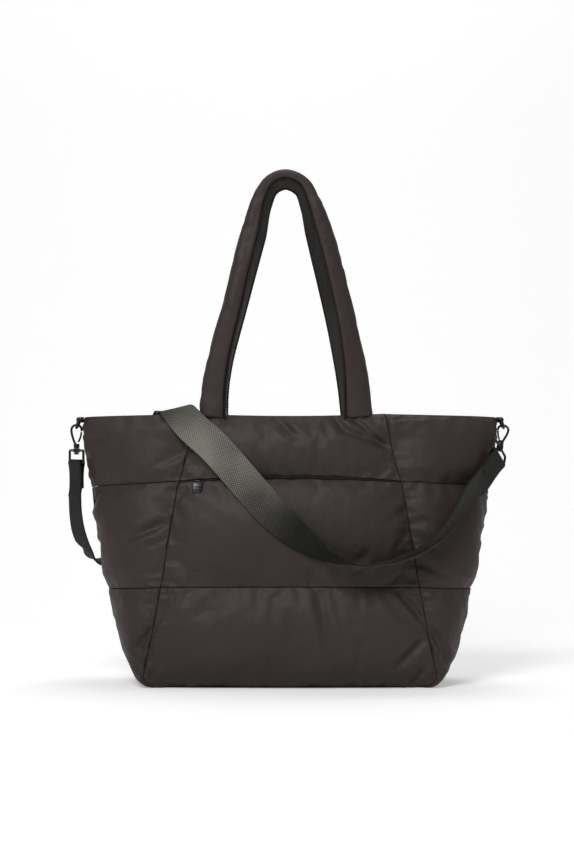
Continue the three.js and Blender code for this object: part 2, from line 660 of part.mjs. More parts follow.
// The clips: a tab and a D-ring at each top corner, and a snap hook that hangs from the ring and
// swivels in the loop that holds the strap. lean tips the hook's lower end towards the bag,
// forward tips it to the front, turn turns the loop on the hook, and leave swings the strap
// round the loop's bar.
const CLIPS = [
  { side: "left", hand: -1, lean: 0, forward: 0, turn: 27, leave: 0 },
  { side: "right", hand: 1, lean: 12, forward: 30, turn: -22, leave: 24 },
];
const RING_RADIUS = RING_WIRE / 2;
const sideSeamTop = SEAMS.rim.side * BODY_HEIGHT;
const barOut = WALL / 2 + FIT_GAP + TAB_THICKNESS + 2 * FIT_GAP + RING_RADIUS;
const strapEnds = {};

for (const clip of CLIPS) {
  const hand = clip.hand;
  const bar = vec(hand * (TOP_HALF_WIDTH + barOut + TAB_STAND_OFF), 0, sideSeamTop - TAB_BELOW_RIM);
  const drop = vec(hand * Math.sin(radians(D_RING_LEAN)), 0, -Math.cos(radians(D_RING_LEAN)));
  const ringPoints = Array.from({ length: 13 }, (_, i) => {
    const angle = i / 12 * Math.PI;
    return bar.clone()
      .addScaledVector(vec(0, 1, 0), D_RING_WIDTH / 2 * Math.cos(angle))
      .addScaledVector(drop, D_RING_DROP * Math.sin(angle) ** 0.8);
  });
  const straight = TAB_WIDTH / 2 + FIT_GAP;
  ringPoints.push(bar.clone().add(vec(0, -straight, 0)), bar.clone().add(vec(0, straight, 0)));
  const ringNormal = vec(0, 1, 0).cross(drop);
  addPiece(`${clip.side}_d_ring`, wire(ringPoints, RING_RADIUS, ringNormal, 8, true), METAL);

  const tabFrame = new THREE.Matrix4().makeBasis(
    vec(0, 0, 1), vec(0, -hand, 0), vec(hand, 0, 0),
  ).setPosition(bar);
  const tabTail = bar.x * hand - TOP_HALF_WIDTH - WALL / 2 - FIT_GAP;
  const tabPlaces = foldPlaces(RING_RADIUS, TAB_THICKNESS, tabTail, 2 * (RING_RADIUS + FIT_GAP));
  const tabStations = stationsAlong(tabPlaces, tabFrame);
  addPiece(`${clip.side}_tab`, flatStrip(tabStations, TAB_WIDTH, TAB_THICKNESS), WEBBING);

  const hanging = new THREE.Group();
  hanging.position.copy(bar).addScaledVector(drop, D_RING_DROP);
  hanging.rotation.set(-radians(clip.forward), hand * radians(clip.lean), 0);
  group.add(hanging);

  const wireRadius = HOOK_WIRE / 2;
  const bow = HOOK_BOW / 2;
  const bowMiddle = -(bow - wireRadius - RING_RADIUS - HANG_GAP);
  const barrelTop = bowMiddle + bow - HOOK_LENGTH;
  const barrelBottom = barrelTop - HOOK_BARREL_HEIGHT;
  const neck = HOOK_BARREL / 2 - wireRadius;
  const hookPoints = [
    vec(hand * neck * 0.5, 0, barrelTop - 1),
    vec(hand * (neck + 0.6), 0, barrelTop + 2.5),
    vec(hand * bow * 0.86, 0, bowMiddle - bow),
    ...[0, 30, 60, 90, 120, 150, 180].map((degrees) => vec(
      hand * bow * Math.cos(radians(degrees)), 0, bowMiddle + bow * Math.sin(radians(degrees)),
    )),
    vec(-hand * bow * 0.98, 0, bowMiddle - HOOK_NOSE),
  ];
  const bossTop = barrelBottom - FIT_GAP;
  const bossBottom = bossTop - LOOP_BOSS_HEIGHT;
  const headTop = bossBottom - FIT_GAP;
  const hookSolid = toSolid(wire(hookPoints, wireRadius, vec(0, 1, 0), 8))
    .add(toSolid(rod(HOOK_BARREL, barrelTop, barrelBottom)))
    .add(toSolid(rod(HOOK_POST, barrelBottom + 0.5, headTop - 0.5)))
    .add(toSolid(rod(HOOK_HEAD, headTop, headTop - HOOK_HEAD_HEIGHT)));
  addPiece(`${clip.side}_hook`, fromSolid(hookSolid), METAL, hanging);

  const gateRadius = GATE_WIRE / 2;
  const gateTop = bowMiddle - HOOK_NOSE - 2 * FIT_GAP;
  const gateBottom = barrelTop + 2 * FIT_GAP + gateRadius;
  const gatePoints = [
    vec(-hand * bow * 0.97, 0, gateTop),
    vec(-hand * THREE.MathUtils.lerp(neck, bow, 0.65), 0, (gateTop + gateBottom) / 2),
    vec(-hand * neck, 0, gateBottom),
  ];
  addPiece(`${clip.side}_hook_gate`, wire(gatePoints, gateRadius, vec(0, 1, 0), 8), METAL, hanging);

  const loopHolder = new THREE.Group();
  loopHolder.position.z = (bossTop + bossBottom) / 2;
  loopHolder.rotation.z = radians(clip.turn);
  hanging.add(loopHolder);
  const halfLoop = STRAP_WIDTH / 2 + LOOP_SIDE_GAP + LOOP_WIRE / 2;
  const nip = LOOP_CORNER;
  const loopCorners = [
    vec(0, halfLoop - nip, 0), vec(0, halfLoop, -nip),
    vec(0, halfLoop, nip - LOOP_HEIGHT), vec(0, halfLoop - nip, -LOOP_HEIGHT),
    vec(0, nip - halfLoop, -LOOP_HEIGHT), vec(0, -halfLoop, nip - LOOP_HEIGHT),
    vec(0, -halfLoop, -nip), vec(0, nip - halfLoop, 0),
  ];
  const bore = HOOK_POST + 2 * FIT_GAP;
  const loopSolid = toSolid(wire(loopCorners, LOOP_WIRE / 2, vec(1, 0, 0), 8, true))
    .add(toSolid(rod(LOOP_BOSS, LOOP_BOSS_HEIGHT / 2, -LOOP_BOSS_HEIGHT / 2)))
    .subtract(toSolid(rod(bore, LOOP_BOSS_HEIGHT, -LOOP_BOSS_HEIGHT)));
  addPiece(`${clip.side}_strap_loop`, fromSolid(loopSolid), METAL, loopHolder);

  group.updateMatrixWorld(true);
  const fold = loopHolder.matrixWorld.clone()
    .multiply(new THREE.Matrix4().makeTranslation(0, 0, -LOOP_HEIGHT))
    .multiply(new THREE.Matrix4().makeRotationY(hand * radians(clip.leave)));
  const places = foldPlaces(LOOP_WIRE / 2, WEBBING_THICKNESS, STRAP_TAIL, 1.5 * FIT_GAP);
  if (hand > 0) places.forEach((place) => { place.x *= -1; });
  strapEnds[clip.side] = stationsAlong(places, fold);
}

// Turns places in a frame into stations with the strip's width along the frame's y.
function stationsAlong(places, frame) {
  const wide = vec(0, 1, 0).transformDirection(frame);
  const points = places.map((place) => place.clone().applyMatrix4(frame));
  return points.map((point, i) => {
    const before = points[Math.max(i - 1, 0)];
    const after = points[Math.min(i + 1, points.length - 1)];
    const ahead = after.clone().sub(before).normalize();
    return { point, wide, thick: ahead.clone().cross(wide).normalize() };
  });
}

// The crossbody strap
const FAR = 3 * TOP_HALF_WIDTH;
const LOOKS = {
  front: { place: (row) => vec(row.x * TOP_HALF_WIDTH, -FAR, row.z * BODY_HEIGHT), way: vec(0, 1, 0) },
  back: { place: (row) => vec(row.x * TOP_HALF_WIDTH, FAR, row.z * BODY_HEIGHT), way: vec(0, -1, 0) },
  left: { place: (row) => vec(-FAR, row.y * HALF_DEPTH, row.z * BODY_HEIGHT), way: vec(1, 0, 0) },
  top: { place: (row) => vec(row.x * TOP_HALF_WIDTH, row.y * HALF_DEPTH, FAR), way: vec(0, 0, -1) },
};

function routePoint(row) {
  if (row.from === "mouth") {
    return vec(row.x * TOP_HALF_WIDTH, row.y * HALF_DEPTH, row.z * BODY_HEIGHT);
  }
  const look = LOOKS[row.from];
  const hit = skinPoint(look.place(row), look.way);
  return hit.addScaledVector(look.way, -row.off * STRAP_WIDTH);
}

const rightEnd = strapEnds.right;
const leftEnd = [...strapEnds.left].reverse();
const runPoints = [
  rightEnd.at(-2).point, rightEnd.at(-1).point,
  ...ROUTE.map(routePoint),
  leftEnd[0].point, leftEnd[1].point,
];
const runWide = [
  rightEnd.at(-2).wide, rightEnd.at(-1).wide,
  ...ROUTE.map((row) => vec(...row.wide).normalize()),
  leftEnd[0].wide, leftEnd[1].wide,
];
const runCurve = new THREE.CatmullRomCurve3(runPoints, false, "centripetal");
const wideCurve = new THREE.CatmullRomCurve3(runWide, false, "centripetal");
const runStations = [];
const endLength = rightEnd.at(-1).point.distanceTo(rightEnd.at(-2).point);
const firstLength = endLength / runCurve.getLength();
for (let i = 1; i < STRAP_STEPS; i += 1) {
  const t = runCurve.getUtoTmapping(THREE.MathUtils.lerp(firstLength, 1 - firstLength, i / STRAP_STEPS));
  const ahead = runCurve.getTangent(t);
  const wide = wideCurve.getPoint(t);
  wide.addScaledVector(ahead, -wide.dot(ahead)).normalize();
  const row = Math.round(t * (runPoints.length - 1)) - 2;
  const from = ROUTE[THREE.MathUtils.clamp(row, 0, ROUTE.length - 1)].from;
  runStations.push({ point: runCurve.getPoint(t), wide, thick: ahead.clone().cross(wide).normalize(), from });
}

// Where the strap would cut into the padding it is pushed out, easing over its neighbours.
const needs = runStations.map(({ point, wide, from }) => {
  const way = (LOOKS[from] ?? LOOKS.top).way;
  const deepest = [-0.5, -0.25, 0, 0.25, 0.5].map((side) => {
    const at = point.clone().addScaledVector(wide, side * STRAP_WIDTH);
    const hit = skinPoint(at.clone().addScaledVector(way, -FAR), way);
    return hit && hit.distanceTo(at) < STRAP_WIDTH * 1.2 ? at.clone().sub(hit).dot(way) : -FAR;
  });
  return Math.max(0, ...deepest.map((depth) => depth + WEBBING_THICKNESS / 2 + STRAP_CLEARANCE));
});
runStations.forEach((station, i) => {
  const way = (LOOKS[station.from] ?? LOOKS.top).way;
  const pushes = needs.map((need, j) => need - STRAP_EASE * Math.abs(i - j));
  station.point.addScaledVector(way, -Math.max(0, ...pushes));
});
const strapStations = [...rightEnd, ...runStations, ...leftEnd];
addPiece("crossbody_strap", flatStrip(strapStations, STRAP_WIDTH, WEBBING_THICKNESS), WEBBING);

export default group;
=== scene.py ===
import math

import bpy
import numpy as np
from mathutils import Matrix, Vector, noise
from mathutils.bvhtree import BVHTree
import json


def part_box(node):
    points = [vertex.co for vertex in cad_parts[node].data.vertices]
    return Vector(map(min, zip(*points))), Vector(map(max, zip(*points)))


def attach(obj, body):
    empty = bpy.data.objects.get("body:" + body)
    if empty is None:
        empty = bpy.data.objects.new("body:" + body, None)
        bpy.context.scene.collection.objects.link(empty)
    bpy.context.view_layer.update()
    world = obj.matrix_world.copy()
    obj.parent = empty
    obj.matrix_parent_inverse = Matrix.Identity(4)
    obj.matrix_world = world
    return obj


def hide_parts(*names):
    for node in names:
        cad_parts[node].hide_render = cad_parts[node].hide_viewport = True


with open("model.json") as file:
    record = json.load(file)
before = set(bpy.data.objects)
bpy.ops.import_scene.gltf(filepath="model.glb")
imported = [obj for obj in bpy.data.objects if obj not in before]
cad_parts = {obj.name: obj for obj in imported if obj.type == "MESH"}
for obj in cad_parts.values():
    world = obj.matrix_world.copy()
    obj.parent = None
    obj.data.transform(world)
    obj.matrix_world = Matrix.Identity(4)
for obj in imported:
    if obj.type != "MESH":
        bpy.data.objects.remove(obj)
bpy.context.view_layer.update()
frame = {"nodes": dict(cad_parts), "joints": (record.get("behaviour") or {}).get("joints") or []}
NODES = frame["nodes"]

# Camera: level, at the height of the bag's rim and 2.6 m in front of it, as a product is
# photographed, with a long lens so that the bag's sides stay nearly parallel.
CAMERA_PLACE = (-0.0035, -2.6, 0.295)
CAMERA_LENS = 92.87

camera_data = bpy.data.cameras.new("camera")
camera_data.lens = CAMERA_LENS
camera_data.sensor_width = 36
camera = bpy.data.objects.new("camera", camera_data)
camera.location = CAMERA_PLACE
camera.rotation_euler = (math.pi / 2, 0, 0)
bpy.context.scene.collection.objects.link(camera)
bpy.context.scene.camera = camera

# Studio: a pale paper sweep that runs up behind the bag, a soft white room, a large key light
# above on the left and a weaker one on the right.
SWEEP_FRONT = -3.4
SWEEP_BACK = 1.6
SWEEP_BEND = 0.9
SWEEP_TOP = 3.4
SWEEP_HALF_WIDTH = 4.0
PAPER = (0.93, 0.93, 0.93, 1)
LIGHTS = [
    {"name": "key", "place": (-0.7, -2.3, 2.25), "aim": (0, 0, 0.22), "size": 1.1, "watts": 44},
    {"name": "fill", "place": (2.2, -1.5, 1.1), "aim": (0, 0, 0.2), "size": 1.4, "watts": 1.5},
    {"name": "top", "place": (0.1, 0.5, 2.4), "aim": (0, 0, 0.3), "size": 1.4, "watts": 14},
]
ROOM_LIGHT = 0.2
PAPER_GLOW = (0.33, 0.33, 0.33, 1)


def mesh_piece(name, corners, faces, material, uvs=None, smooth=True):
    mesh = bpy.data.meshes.new(name)
    mesh.from_pydata([tuple(c) for c in corners], [], [tuple(f) for f in faces])
    if uvs is not None:
        layer = mesh.uv_layers.new(name="cloth")
        at = np.zeros(len(mesh.loops), np.int32)
        mesh.loops.foreach_get("vertex_index", at)
        layer.data.foreach_set("uv", np.asarray(uvs, np.float32)[at].ravel())
    mesh.polygons.foreach_set("use_smooth", [smooth] * len(mesh.polygons))
    mesh.materials.append(material)
    mesh.update()
    piece = bpy.data.objects.new(name, mesh)
    bpy.context.scene.collection.objects.link(piece)
    return piece


def new_material(name, **looks):
    """A material and its tree. looks are numbers and colours on the shader's own sockets."""
    material = bpy.data.materials.new(name)
    material.use_nodes = True
    shader = material.node_tree.nodes["Principled BSDF"]
    for socket, value in looks.items():
        shader.inputs[socket.replace("_", " ")].default_value = value
    return material, material.node_tree


def new_node(tree, kind, values=(), **settings):
    """A node with its settings and inputs: numbers, colours or the outputs of other nodes."""
    node = tree.nodes.new(kind)
    for key, value in settings.items():
        setattr(node, key, value)
    for socket, value in values.items() if isinstance(values, dict) else enumerate(values):
        if isinstance(value, bpy.types.NodeSocket):
            tree.links.new(value, node.inputs[socket])
        else:
            node.inputs[socket].default_value = value
    return node


def maths(tree, operation, *values):
    return new_node(tree, "ShaderNodeMath", values, operation=operation).outputs[0]


def feed_shader(tree, **outputs):
    shader = tree.nodes["Principled BSDF"]
    for socket, output in outputs.items():
        tree.links.new(output, shader.inputs[socket.replace("_", " ")])


# The paper glows for the camera alone, and is seen through from behind so that the bag's back shows.
paper, paper_tree = new_material(
    "studio_paper", Base_Color=PAPER, Roughness=1, Specular_IOR_Level=0, Emission_Color=PAPER_GLOW,
)
paper_ray = new_node(paper_tree, "ShaderNodeLightPath")
paper_side = new_node(paper_tree, "ShaderNodeNewGeometry")
paper_front = maths(paper_tree, "SUBTRACT", 1, paper_side.outputs["Backfacing"])
feed_shader(paper_tree, Emission_Strength=paper_ray.outputs["Is Camera Ray"], Alpha=paper_front)

sweep_profile = [(SWEEP_FRONT, 0.0), (SWEEP_BACK - SWEEP_BEND, 0.0)]
for step in range(1, 13):
    bend = step / 12 * math.pi / 2
    sweep_profile.append((
        SWEEP_BACK - SWEEP_BEND + SWEEP_BEND * math.sin(bend),
        SWEEP_BEND * (1 - math.cos(bend)),
    ))
sweep_profile.append((SWEEP_BACK, SWEEP_TOP))
sweep_corners = [
    (side * SWEEP_HALF_WIDTH, y, z) for y, z in sweep_profile for side in (-1, 1)
]
sweep_faces = [(2 * i, 2 * i + 1, 2 * i + 3, 2 * i + 2) for i in range(len(sweep_profile) - 1)]
sweep = mesh_piece("paper_sweep", sweep_corners, sweep_faces, paper)

world = bpy.data.worlds.new("room")
world.use_nodes = True
world.node_tree.nodes["Background"].inputs["Color"].default_value = (1, 1, 1, 1)
world.node_tree.nodes["Background"].inputs["Strength"].default_value = ROOM_LIGHT
bpy.context.scene.world = world
bpy.context.scene.view_settings.view_transform = "Standard"

for row in LIGHTS:
    light_data = bpy.data.lights.new(row["name"], "AREA")
    light_data.shape = "DISK"
    light_data.size = row["size"]
    light_data.energy = row["watts"]
    light = bpy.data.objects.new(row["name"], light_data)
    light.location = row["place"]
    aim = Vector(row["aim"]) - Vector(row["place"])
    light.rotation_euler = aim.to_track_quat("-Z", "Y").to_euler()
    bpy.context.scene.collection.objects.link(light)

# Body: eighteen pads of dark nylon, filled and sewn edge to edge, in three bands round the bag.
# Each is split at the slanted seams and the side seams, and the top ones end in a round rim.
BODY_HEIGHT = 0.312
TOP_HALF_WIDTH = 0.240
HALF_DEPTH = 0.076
WALL = 0.003
SEAM_GAP = 0.0003
OUTER_SWELL = 0.013
INNER_SWELL = 0.004
WING_SWELL = 0.011
RIM_THICKNESS = 0.017
ROLL_RISE = 0.013
ROLL_SIDE = 0.026
ROLL_FRONT = 0.012
ROLL_SHARE = 0.24
CORNER_TURN = 22
SIDE_TAPER = 0.35
POCKET_SLOT = 0.006
NYLON_BROWN = (0.052, 0.037, 0.0355, 1)
NYLON_SHADE = (0.040, 0.0285, 0.0275, 1)

# Level sections from the floor up: height as a share of BODY_HEIGHT, half widths at the side and
# at the slanted seam as shares of TOP_HALF_WIDTH, half depths at the seam and the middle as
# shares of HALF_DEPTH, and the exponent of the round side.
SECTION_COLUMNS = ("height", "side", "seam", "corner", "belly", "round")
SECTIONS = np.array([
    (0.045, 0.722, 0.699, 0.80, 0.87, 2.00),
    (0.140, 0.790, 0.671, 0.88, 0.96, 2.00),
    (0.250, 0.838, 0.642, 0.92, 1.00, 2.00),
    (0.358, 0.874, 0.617, 0.92, 1.00, 1.95),
    (0.410, 0.897, 0.604, 0.91, 1.00, 1.90),
    (0.525, 0.920, 0.582, 0.88, 0.98, 1.80),
    (0.635, 0.948, 0.558, 0.82, 0.93, 1.70),
    (0.732, 0.960, 0.537, 0.75, 0.88, 1.65),
    (0.811, 0.981, 0.508, 0.70, 0.82, 1.60),
    (0.917, 1.000, 0.472, 0.60, 0.71, 1.50),
    (1.000, 1.000, 0.446, 0.55, 0.63, 1.50),
])
LOWER_SEAM = {"middle": 0.375, "corner": 0.372, "side": 0.356}
UPPER_SEAM = {"middle": 0.78, "corner": 0.76, "side": 0.731}
RIM_LINE = {"middle": 1.0, "corner": 1.008, "side": 0.995}
BANDS = {
    "lower": {"from": None, "to": LOWER_SEAM, "rows": 44},
    "middle": {"from": LOWER_SEAM, "to": UPPER_SEAM, "rows": 44},
    "upper": {"from": UPPER_SEAM, "to": RIM_LINE, "rows": 26},
}
FACES = {"front": -1, "back": 1}
WINGS = {"centre": 0, "left": -1, "right": 1}
COLUMNS = {"centre": 64, "left": 34, "right": 34}
RIM_STEPS = 8

# How the filling swells the pads: a slack cloth, held at its seams, is blown out from a part of
# its full thickness, and no point moves further than the cap.
CLOTH_START = 0.62
CLOTH_SLACK = -0.025
CLOTH_PRESSURE = 3.2
CLOTH_FRAMES = 18
CLOTH_CAP = 0.0085

# Gathers along the seams: short sharp ones at the end seams, long ones that spread from them, and
# weak ones at the level seams. Each dies out over its reach, and none rises from the stitches.
SHORT_GATHERS = {"depth": 0.0042, "stretch": (20, 20, 215), "seed": 3.1, "reach": 0.0125, "flat": 0.0018}
PUCKER = 0.0014
LONG_PUCKERS = {"stretch": (11, 11, 62), "seed": 5.9, "reach": 0.045}
LEVEL_PUCKERS = {"share": 0.3, "stretch": (95, 95, 20), "seed": 7.7, "reach": 0.014}
PUCKER_SLANT = 0.5
PUCKER_FLAT = 0.0025
FOLD_DEPTH = 1.6
FOLD_WIDTH = 0.8
FOLD_LIP = {"height": 0.32, "at": 1.9}
FOLD_FREE_EDGE = 0.006
LOWEST_SKIN = 0.0002

# Folds of the front as the bag stands: from x and z to x and z, depth and half width, all in
# millimetres.
FOLDS = [
    (-18, 309, 7, 286, 3.4, 5.5),
    (51, 309, 63, 296, 2.6, 5.0),
    (58, 296, 112, 277, 3.4, 5.0),
    (74, 307, 109, 278, 2.4, 4.0),
    (-191, 170, -143, 190, 3.6, 5.5),
    (-163, 164, -141, 169, 2.8, 4.5),
    (18, 135, 26, 119, 3.0, 5.0),
    (51, 138, 58, 118, 3.0, 5.0),
    (85, 155, 74, 128, 2.2, 5.5),
    (34, 109, 45, 33, 3.4, 6.0),
    (84, 58, 71, 6, 2.6, 5.5),
    (123, 112, 154, 78, 3.6, 5.0),
    (120, 24, 154, 58, 3.8, 5.5),
    (138, 6, 154, 24, 3.4, 4.5),
    (160, 73, 183, 27, 3.2, 5.5),
    (-154, 73, -176, 45, 3.4, 5.0),
    (-142, 119, -146, 109, 2.6, 4.5),
    (-232, 284, -214, 288, 2.8, 4.5),
]


def read_section(height):
    at = height / BODY_HEIGHT
    read = {c: np.interp(at, SECTIONS[:, 0], SECTIONS[:, i]) for i, c in enumerate(SECTION_COLUMNS)}
    return {
        "side": read["side"] * TOP_HALF_WIDTH,
        "seam": read["seam"] * TOP_HALF_WIDTH,
        "corner": read["corner"] * HALF_DEPTH,
        "belly": read["belly"] * HALF_DEPTH,
        "round": read["round"],
    }


def seam_height(seam, wing, across):
    if wing == 0:
        share = seam["middle"] + (seam["corner"] - seam["middle"]) * (2 * across - 1) ** 2
    else:
        share = seam["corner"] + (seam["side"] - seam["corner"]) * across
    return share * BODY_HEIGHT


def wall_place(band_name, face, wing, across, up):
    """Points on the wall's middle surface, with the ways out of it, along it and up it."""
    across = np.asarray(across, float)
    up = np.asarray(up, float)
    band = BANDS[band_name]
    top = seam_height(band["to"], wing, across)
    roll = np.zeros_like(across)
    if band["from"]:
        bottom = seam_height(band["from"], wing, across)
        height = bottom + (top - bottom) * up
    else:
        roll = np.radians(90 * np.clip(1 - up / ROLL_SHARE, 0, 1))
        bottom = WALL / 2 + ROLL_RISE
        rolled = WALL / 2 + ROLL_RISE * (1 - np.sin(roll))
        height = np.where(
            up < ROLL_SHARE, rolled, bottom + (top - bottom) * (up - ROLL_SHARE) / (1 - ROLL_SHARE),
        )
    at = read_section(height)
    if wing == 0:
        q = 2 * across - 1
        x = at["seam"] * q
        y = at["belly"] + (at["corner"] - at["belly"]) * q * q
        turn = np.radians(CORNER_TURN * q ** 3)
    else:
        power = 2 / at["round"]
        angle = across * math.pi / 2
        x = wing * (at["seam"] + (at["side"] - at["seam"]) * np.sin(angle) ** power)
        y = at["corner"] * np.maximum(np.cos(angle), 0) ** power
        turn = wing * np.radians(CORNER_TURN + (90 - CORNER_TURN) * across)
    tuck = 1 - np.cos(roll)
    x = x * (1 - tuck * ROLL_SIDE / at["side"])
    y = y * (1 - tuck * ROLL_FRONT / at["belly"])
    zero = np.zeros_like(x)
    level = np.stack([np.sin(turn), face * np.cos(turn), zero], -1)
    upward = np.stack([zero, zero, zero + 1], -1)
    lean = roll[..., None]
    return {
        "point": np.stack([x, face * y, height], -1),
        "out": level * np.cos(lean) - upward * np.sin(lean),
        "climb": level * np.sin(lean) + upward * np.cos(lean),
        "along": np.stack([np.cos(turn), -face * np.sin(turn), zero], -1),
        "top": top,
    }


def pillow(share, power=2.6):
    return 1 - np.abs(2 * share - 1) ** power


def smooth_step(value, low, high):
    t = np.clip((value - low) / (high - low), 0, 1)
    return t * t * (3 - 2 * t)


def half_thickness(band_name, wing, across, up, drop, swell):
    edge_swell = 1 if wing == 0 else 1 - SIDE_TAPER * across
    up_swell = np.where(up > 0.5, 1, pillow(up)) if band_name == "upper" else pillow(up)
    thickness = WALL / 2 + swell * pillow(across) * edge_swell * up_swell
    if band_name != "upper":
        return thickness
    rim = RIM_THICKNESS / 2
    rim_ends = 1 if wing == 0 else 1 - across ** 3
    edge = WALL / 2 + (rim - WALL / 2) * smooth_step(up, 0.3, 0.85) * rim_ends
    body = thickness + (edge - thickness) * smooth_step(up, 0.5, 0.9)
    thickness = np.maximum(body, edge)
    closing = np.sqrt(np.clip(1 - (1 - drop / rim) ** 2, 0, 1))
    return np.where(drop < rim, thickness * np.maximum(closing, 0.12), thickness)


def eased_shares(count):
    even = np.linspace(0, 1, count + 1)
    return even + 0.6 * (0.5 - 0.5 * np.cos(math.pi * even) - even)


def pad_rows(band_name):
    rows = eased_shares(BANDS[band_name]["rows"])
    if band_name != "upper":
        return rows
    rim_share = RIM_THICKNESS / 2 / ((RIM_LINE["middle"] - UPPER_SEAM["middle"]) * BODY_HEIGHT)
    around = np.radians(np.linspace(90, 0, RIM_STEPS + 1))
    rim_rows = 1 - rim_share * (1 - np.cos(around))
    return np.concatenate([rows[rows < 1 - rim_share * 1.1], rim_rows])


def noise_values(points, stretch, seed):
    scaled = points * np.asarray(stretch) + seed
    return np.array([noise.noise(Vector(p)) for p in scaled])


class Pad:
    """One padded panel as two grids of corners, from its seams and its swell. full is the filled
    skin, start is where its simulation starts, and inner is the side that faces the inside."""

    def __init__(self, name, band_name, face, wing_name):
        self.name = name
        self.front = face < 0
        wing = WINGS[wing_name]
        self.shares = eased_shares(COLUMNS[wing_name])
        self.rows = pad_rows(band_name)
        self.across, self.up = np.meshgrid(self.shares, self.rows)
        place = wall_place(band_name, face, wing, self.across, self.up)
        point = place["point"]
        side = 1 if wing == 0 else wing
        pull = SEAM_GAP / 2
        point[:, 0] += place["along"][:, 0] * side * pull
        point[:, -1] -= place["along"][:, -1] * side * pull
        point[0] += place["climb"][0] * pull
        point[-1] -= place["climb"][-1] * (POCKET_SLOT if name == "front_middle_centre" else pull)
        drop = np.maximum(place["top"] - point[..., 2], 0)
        swell = OUTER_SWELL if wing == 0 else WING_SWELL
        self.thick = half_thickness(band_name, wing, self.across, self.up, drop, swell)
        start = WALL / 2 + (self.thick - WALL / 2) * CLOTH_START
        if band_name == "upper":
            start = start + (self.thick - start) * smooth_step(self.up, 0.45, 0.8)
        inside = half_thickness(band_name, wing, self.across, self.up, drop, INNER_SWELL)
        self.out = place["out"]
        self.full = point + self.out * self.thick[..., None]
        self.start = point + self.out * start[..., None]
        self.inner = point - self.out * inside[..., None]
        self.flipped = (face > 0) != (wing < 0)
        self.shape = self.across.shape
        self.from_seam = self.seam_distance()

    def seam_distance(self):
        """Distance of each point from the nearest end seam of its pad, along the cloth."""
        steps = np.linalg.norm(np.diff(self.full, axis=1), axis=2)
        run = np.concatenate([np.zeros((self.shape[0], 1)), np.cumsum(steps, 1)], 1)
        self.run = run
        rise = np.linalg.norm(np.diff(self.full, axis=0), axis=2)
        self.climbed = np.concatenate([np.zeros((1, self.shape[1])), np.cumsum(rise, 0)], 0)
        return np.minimum(run, run[:, -1:] - run)

    def gathered(self, row, places):
        return noise_values(places, row["stretch"], row["seed"]).reshape(self.shape)

    def gathers(self):
        """Short sharp gathers that the stitches of the end seams draw up."""
        short = self.gathered(SHORT_GATHERS, self.full.reshape(-1, 3))
        sewn = 1 - np.exp(-self.from_seam / SHORT_GATHERS["flat"])
        near = np.exp(-((self.from_seam / SHORT_GATHERS["reach"]) ** 2))
        return SHORT_GATHERS["depth"] * short * near * sewn

    def puckers(self):
        """Long gathers that run into the end seams, and shallower ones along the level seams."""
        flat = self.full.reshape(-1, 3)
        long = self.gathered(LONG_PUCKERS, flat + flat[:, [2, 0, 0]] * (0, 0, PUCKER_SLANT))
        level = self.gathered(LEVEL_PUCKERS, flat)
        sewn = 1 - np.exp(-self.from_seam / PUCKER_FLAT)
        far_ends = np.exp(-((self.from_seam / LONG_PUCKERS["reach"]) ** 2)) * sewn
        to_level = np.minimum(self.climbed, self.climbed[-1:] - self.climbed)
        level_sewn = 1 - np.exp(-to_level / PUCKER_FLAT)
        near_level = np.exp(-((to_level / LEVEL_PUCKERS["reach"]) ** 2)) * level_sewn
        return PUCKER * (long * far_ends + LEVEL_PUCKERS["share"] * level * near_level)

    def folds(self, skin):
        pressed = np.zeros(self.shape)
        if not self.front:
            return pressed
        for x, z, to_x, to_z, depth, half_width in FOLDS:
            low = np.array([x, z]) / 1000
            run = np.array([to_x, to_z]) / 1000 - low
            to_point = skin[..., [0, 2]] - low
            along = np.clip((to_point @ run) / (run @ run), 0, 1)
            width = FOLD_WIDTH * half_width / 1000
            gap = np.linalg.norm(to_point - along[..., None] * run, axis=-1) / width
            taper = 0.35 + 0.65 * np.sin(np.clip(along, 0.02, 0.98) * math.pi) ** 0.6
            lip = FOLD_LIP["height"] * np.exp(-((gap - FOLD_LIP["at"]) ** 2))
            pressed += FOLD_DEPTH * depth / 1000 * taper * (np.exp(-(gap ** 2)) - lip)
        edge = np.minimum(self.from_seam, FOLD_FREE_EDGE) / FOLD_FREE_EDGE
        return pressed * edge

    def faces(self, offset=0):
        count_rows, count_columns = self.shape
        grid = np.arange(count_rows * count_columns).reshape(self.shape) + offset
        a, b = grid[:-1, :-1].ravel(), grid[:-1, 1:].ravel()
        c, d = grid[1:, 1:].ravel(), grid[1:, :-1].ravel()
        return np.stack([a, d, c, b] if self.flipped else [a, b, c, d], 1)

    def border(self):
        grid = np.arange(self.shape[0] * self.shape[1]).reshape(self.shape)
        return np.concatenate([grid[0], grid[1:, -1], grid[-1, -2::-1], grid[-2:0:-1, 0]])

    def closed_faces(self, outer_faces, offset):
        inner_faces = self.faces(offset)[:, ::-1]
        ring = self.border()
        after = np.roll(ring, -1)
        sides = np.stack([ring, ring + offset, after + offset, after], 1)
        if self.flipped:
            sides = sides[:, ::-1]
        return np.concatenate([outer_faces, inner_faces, sides])


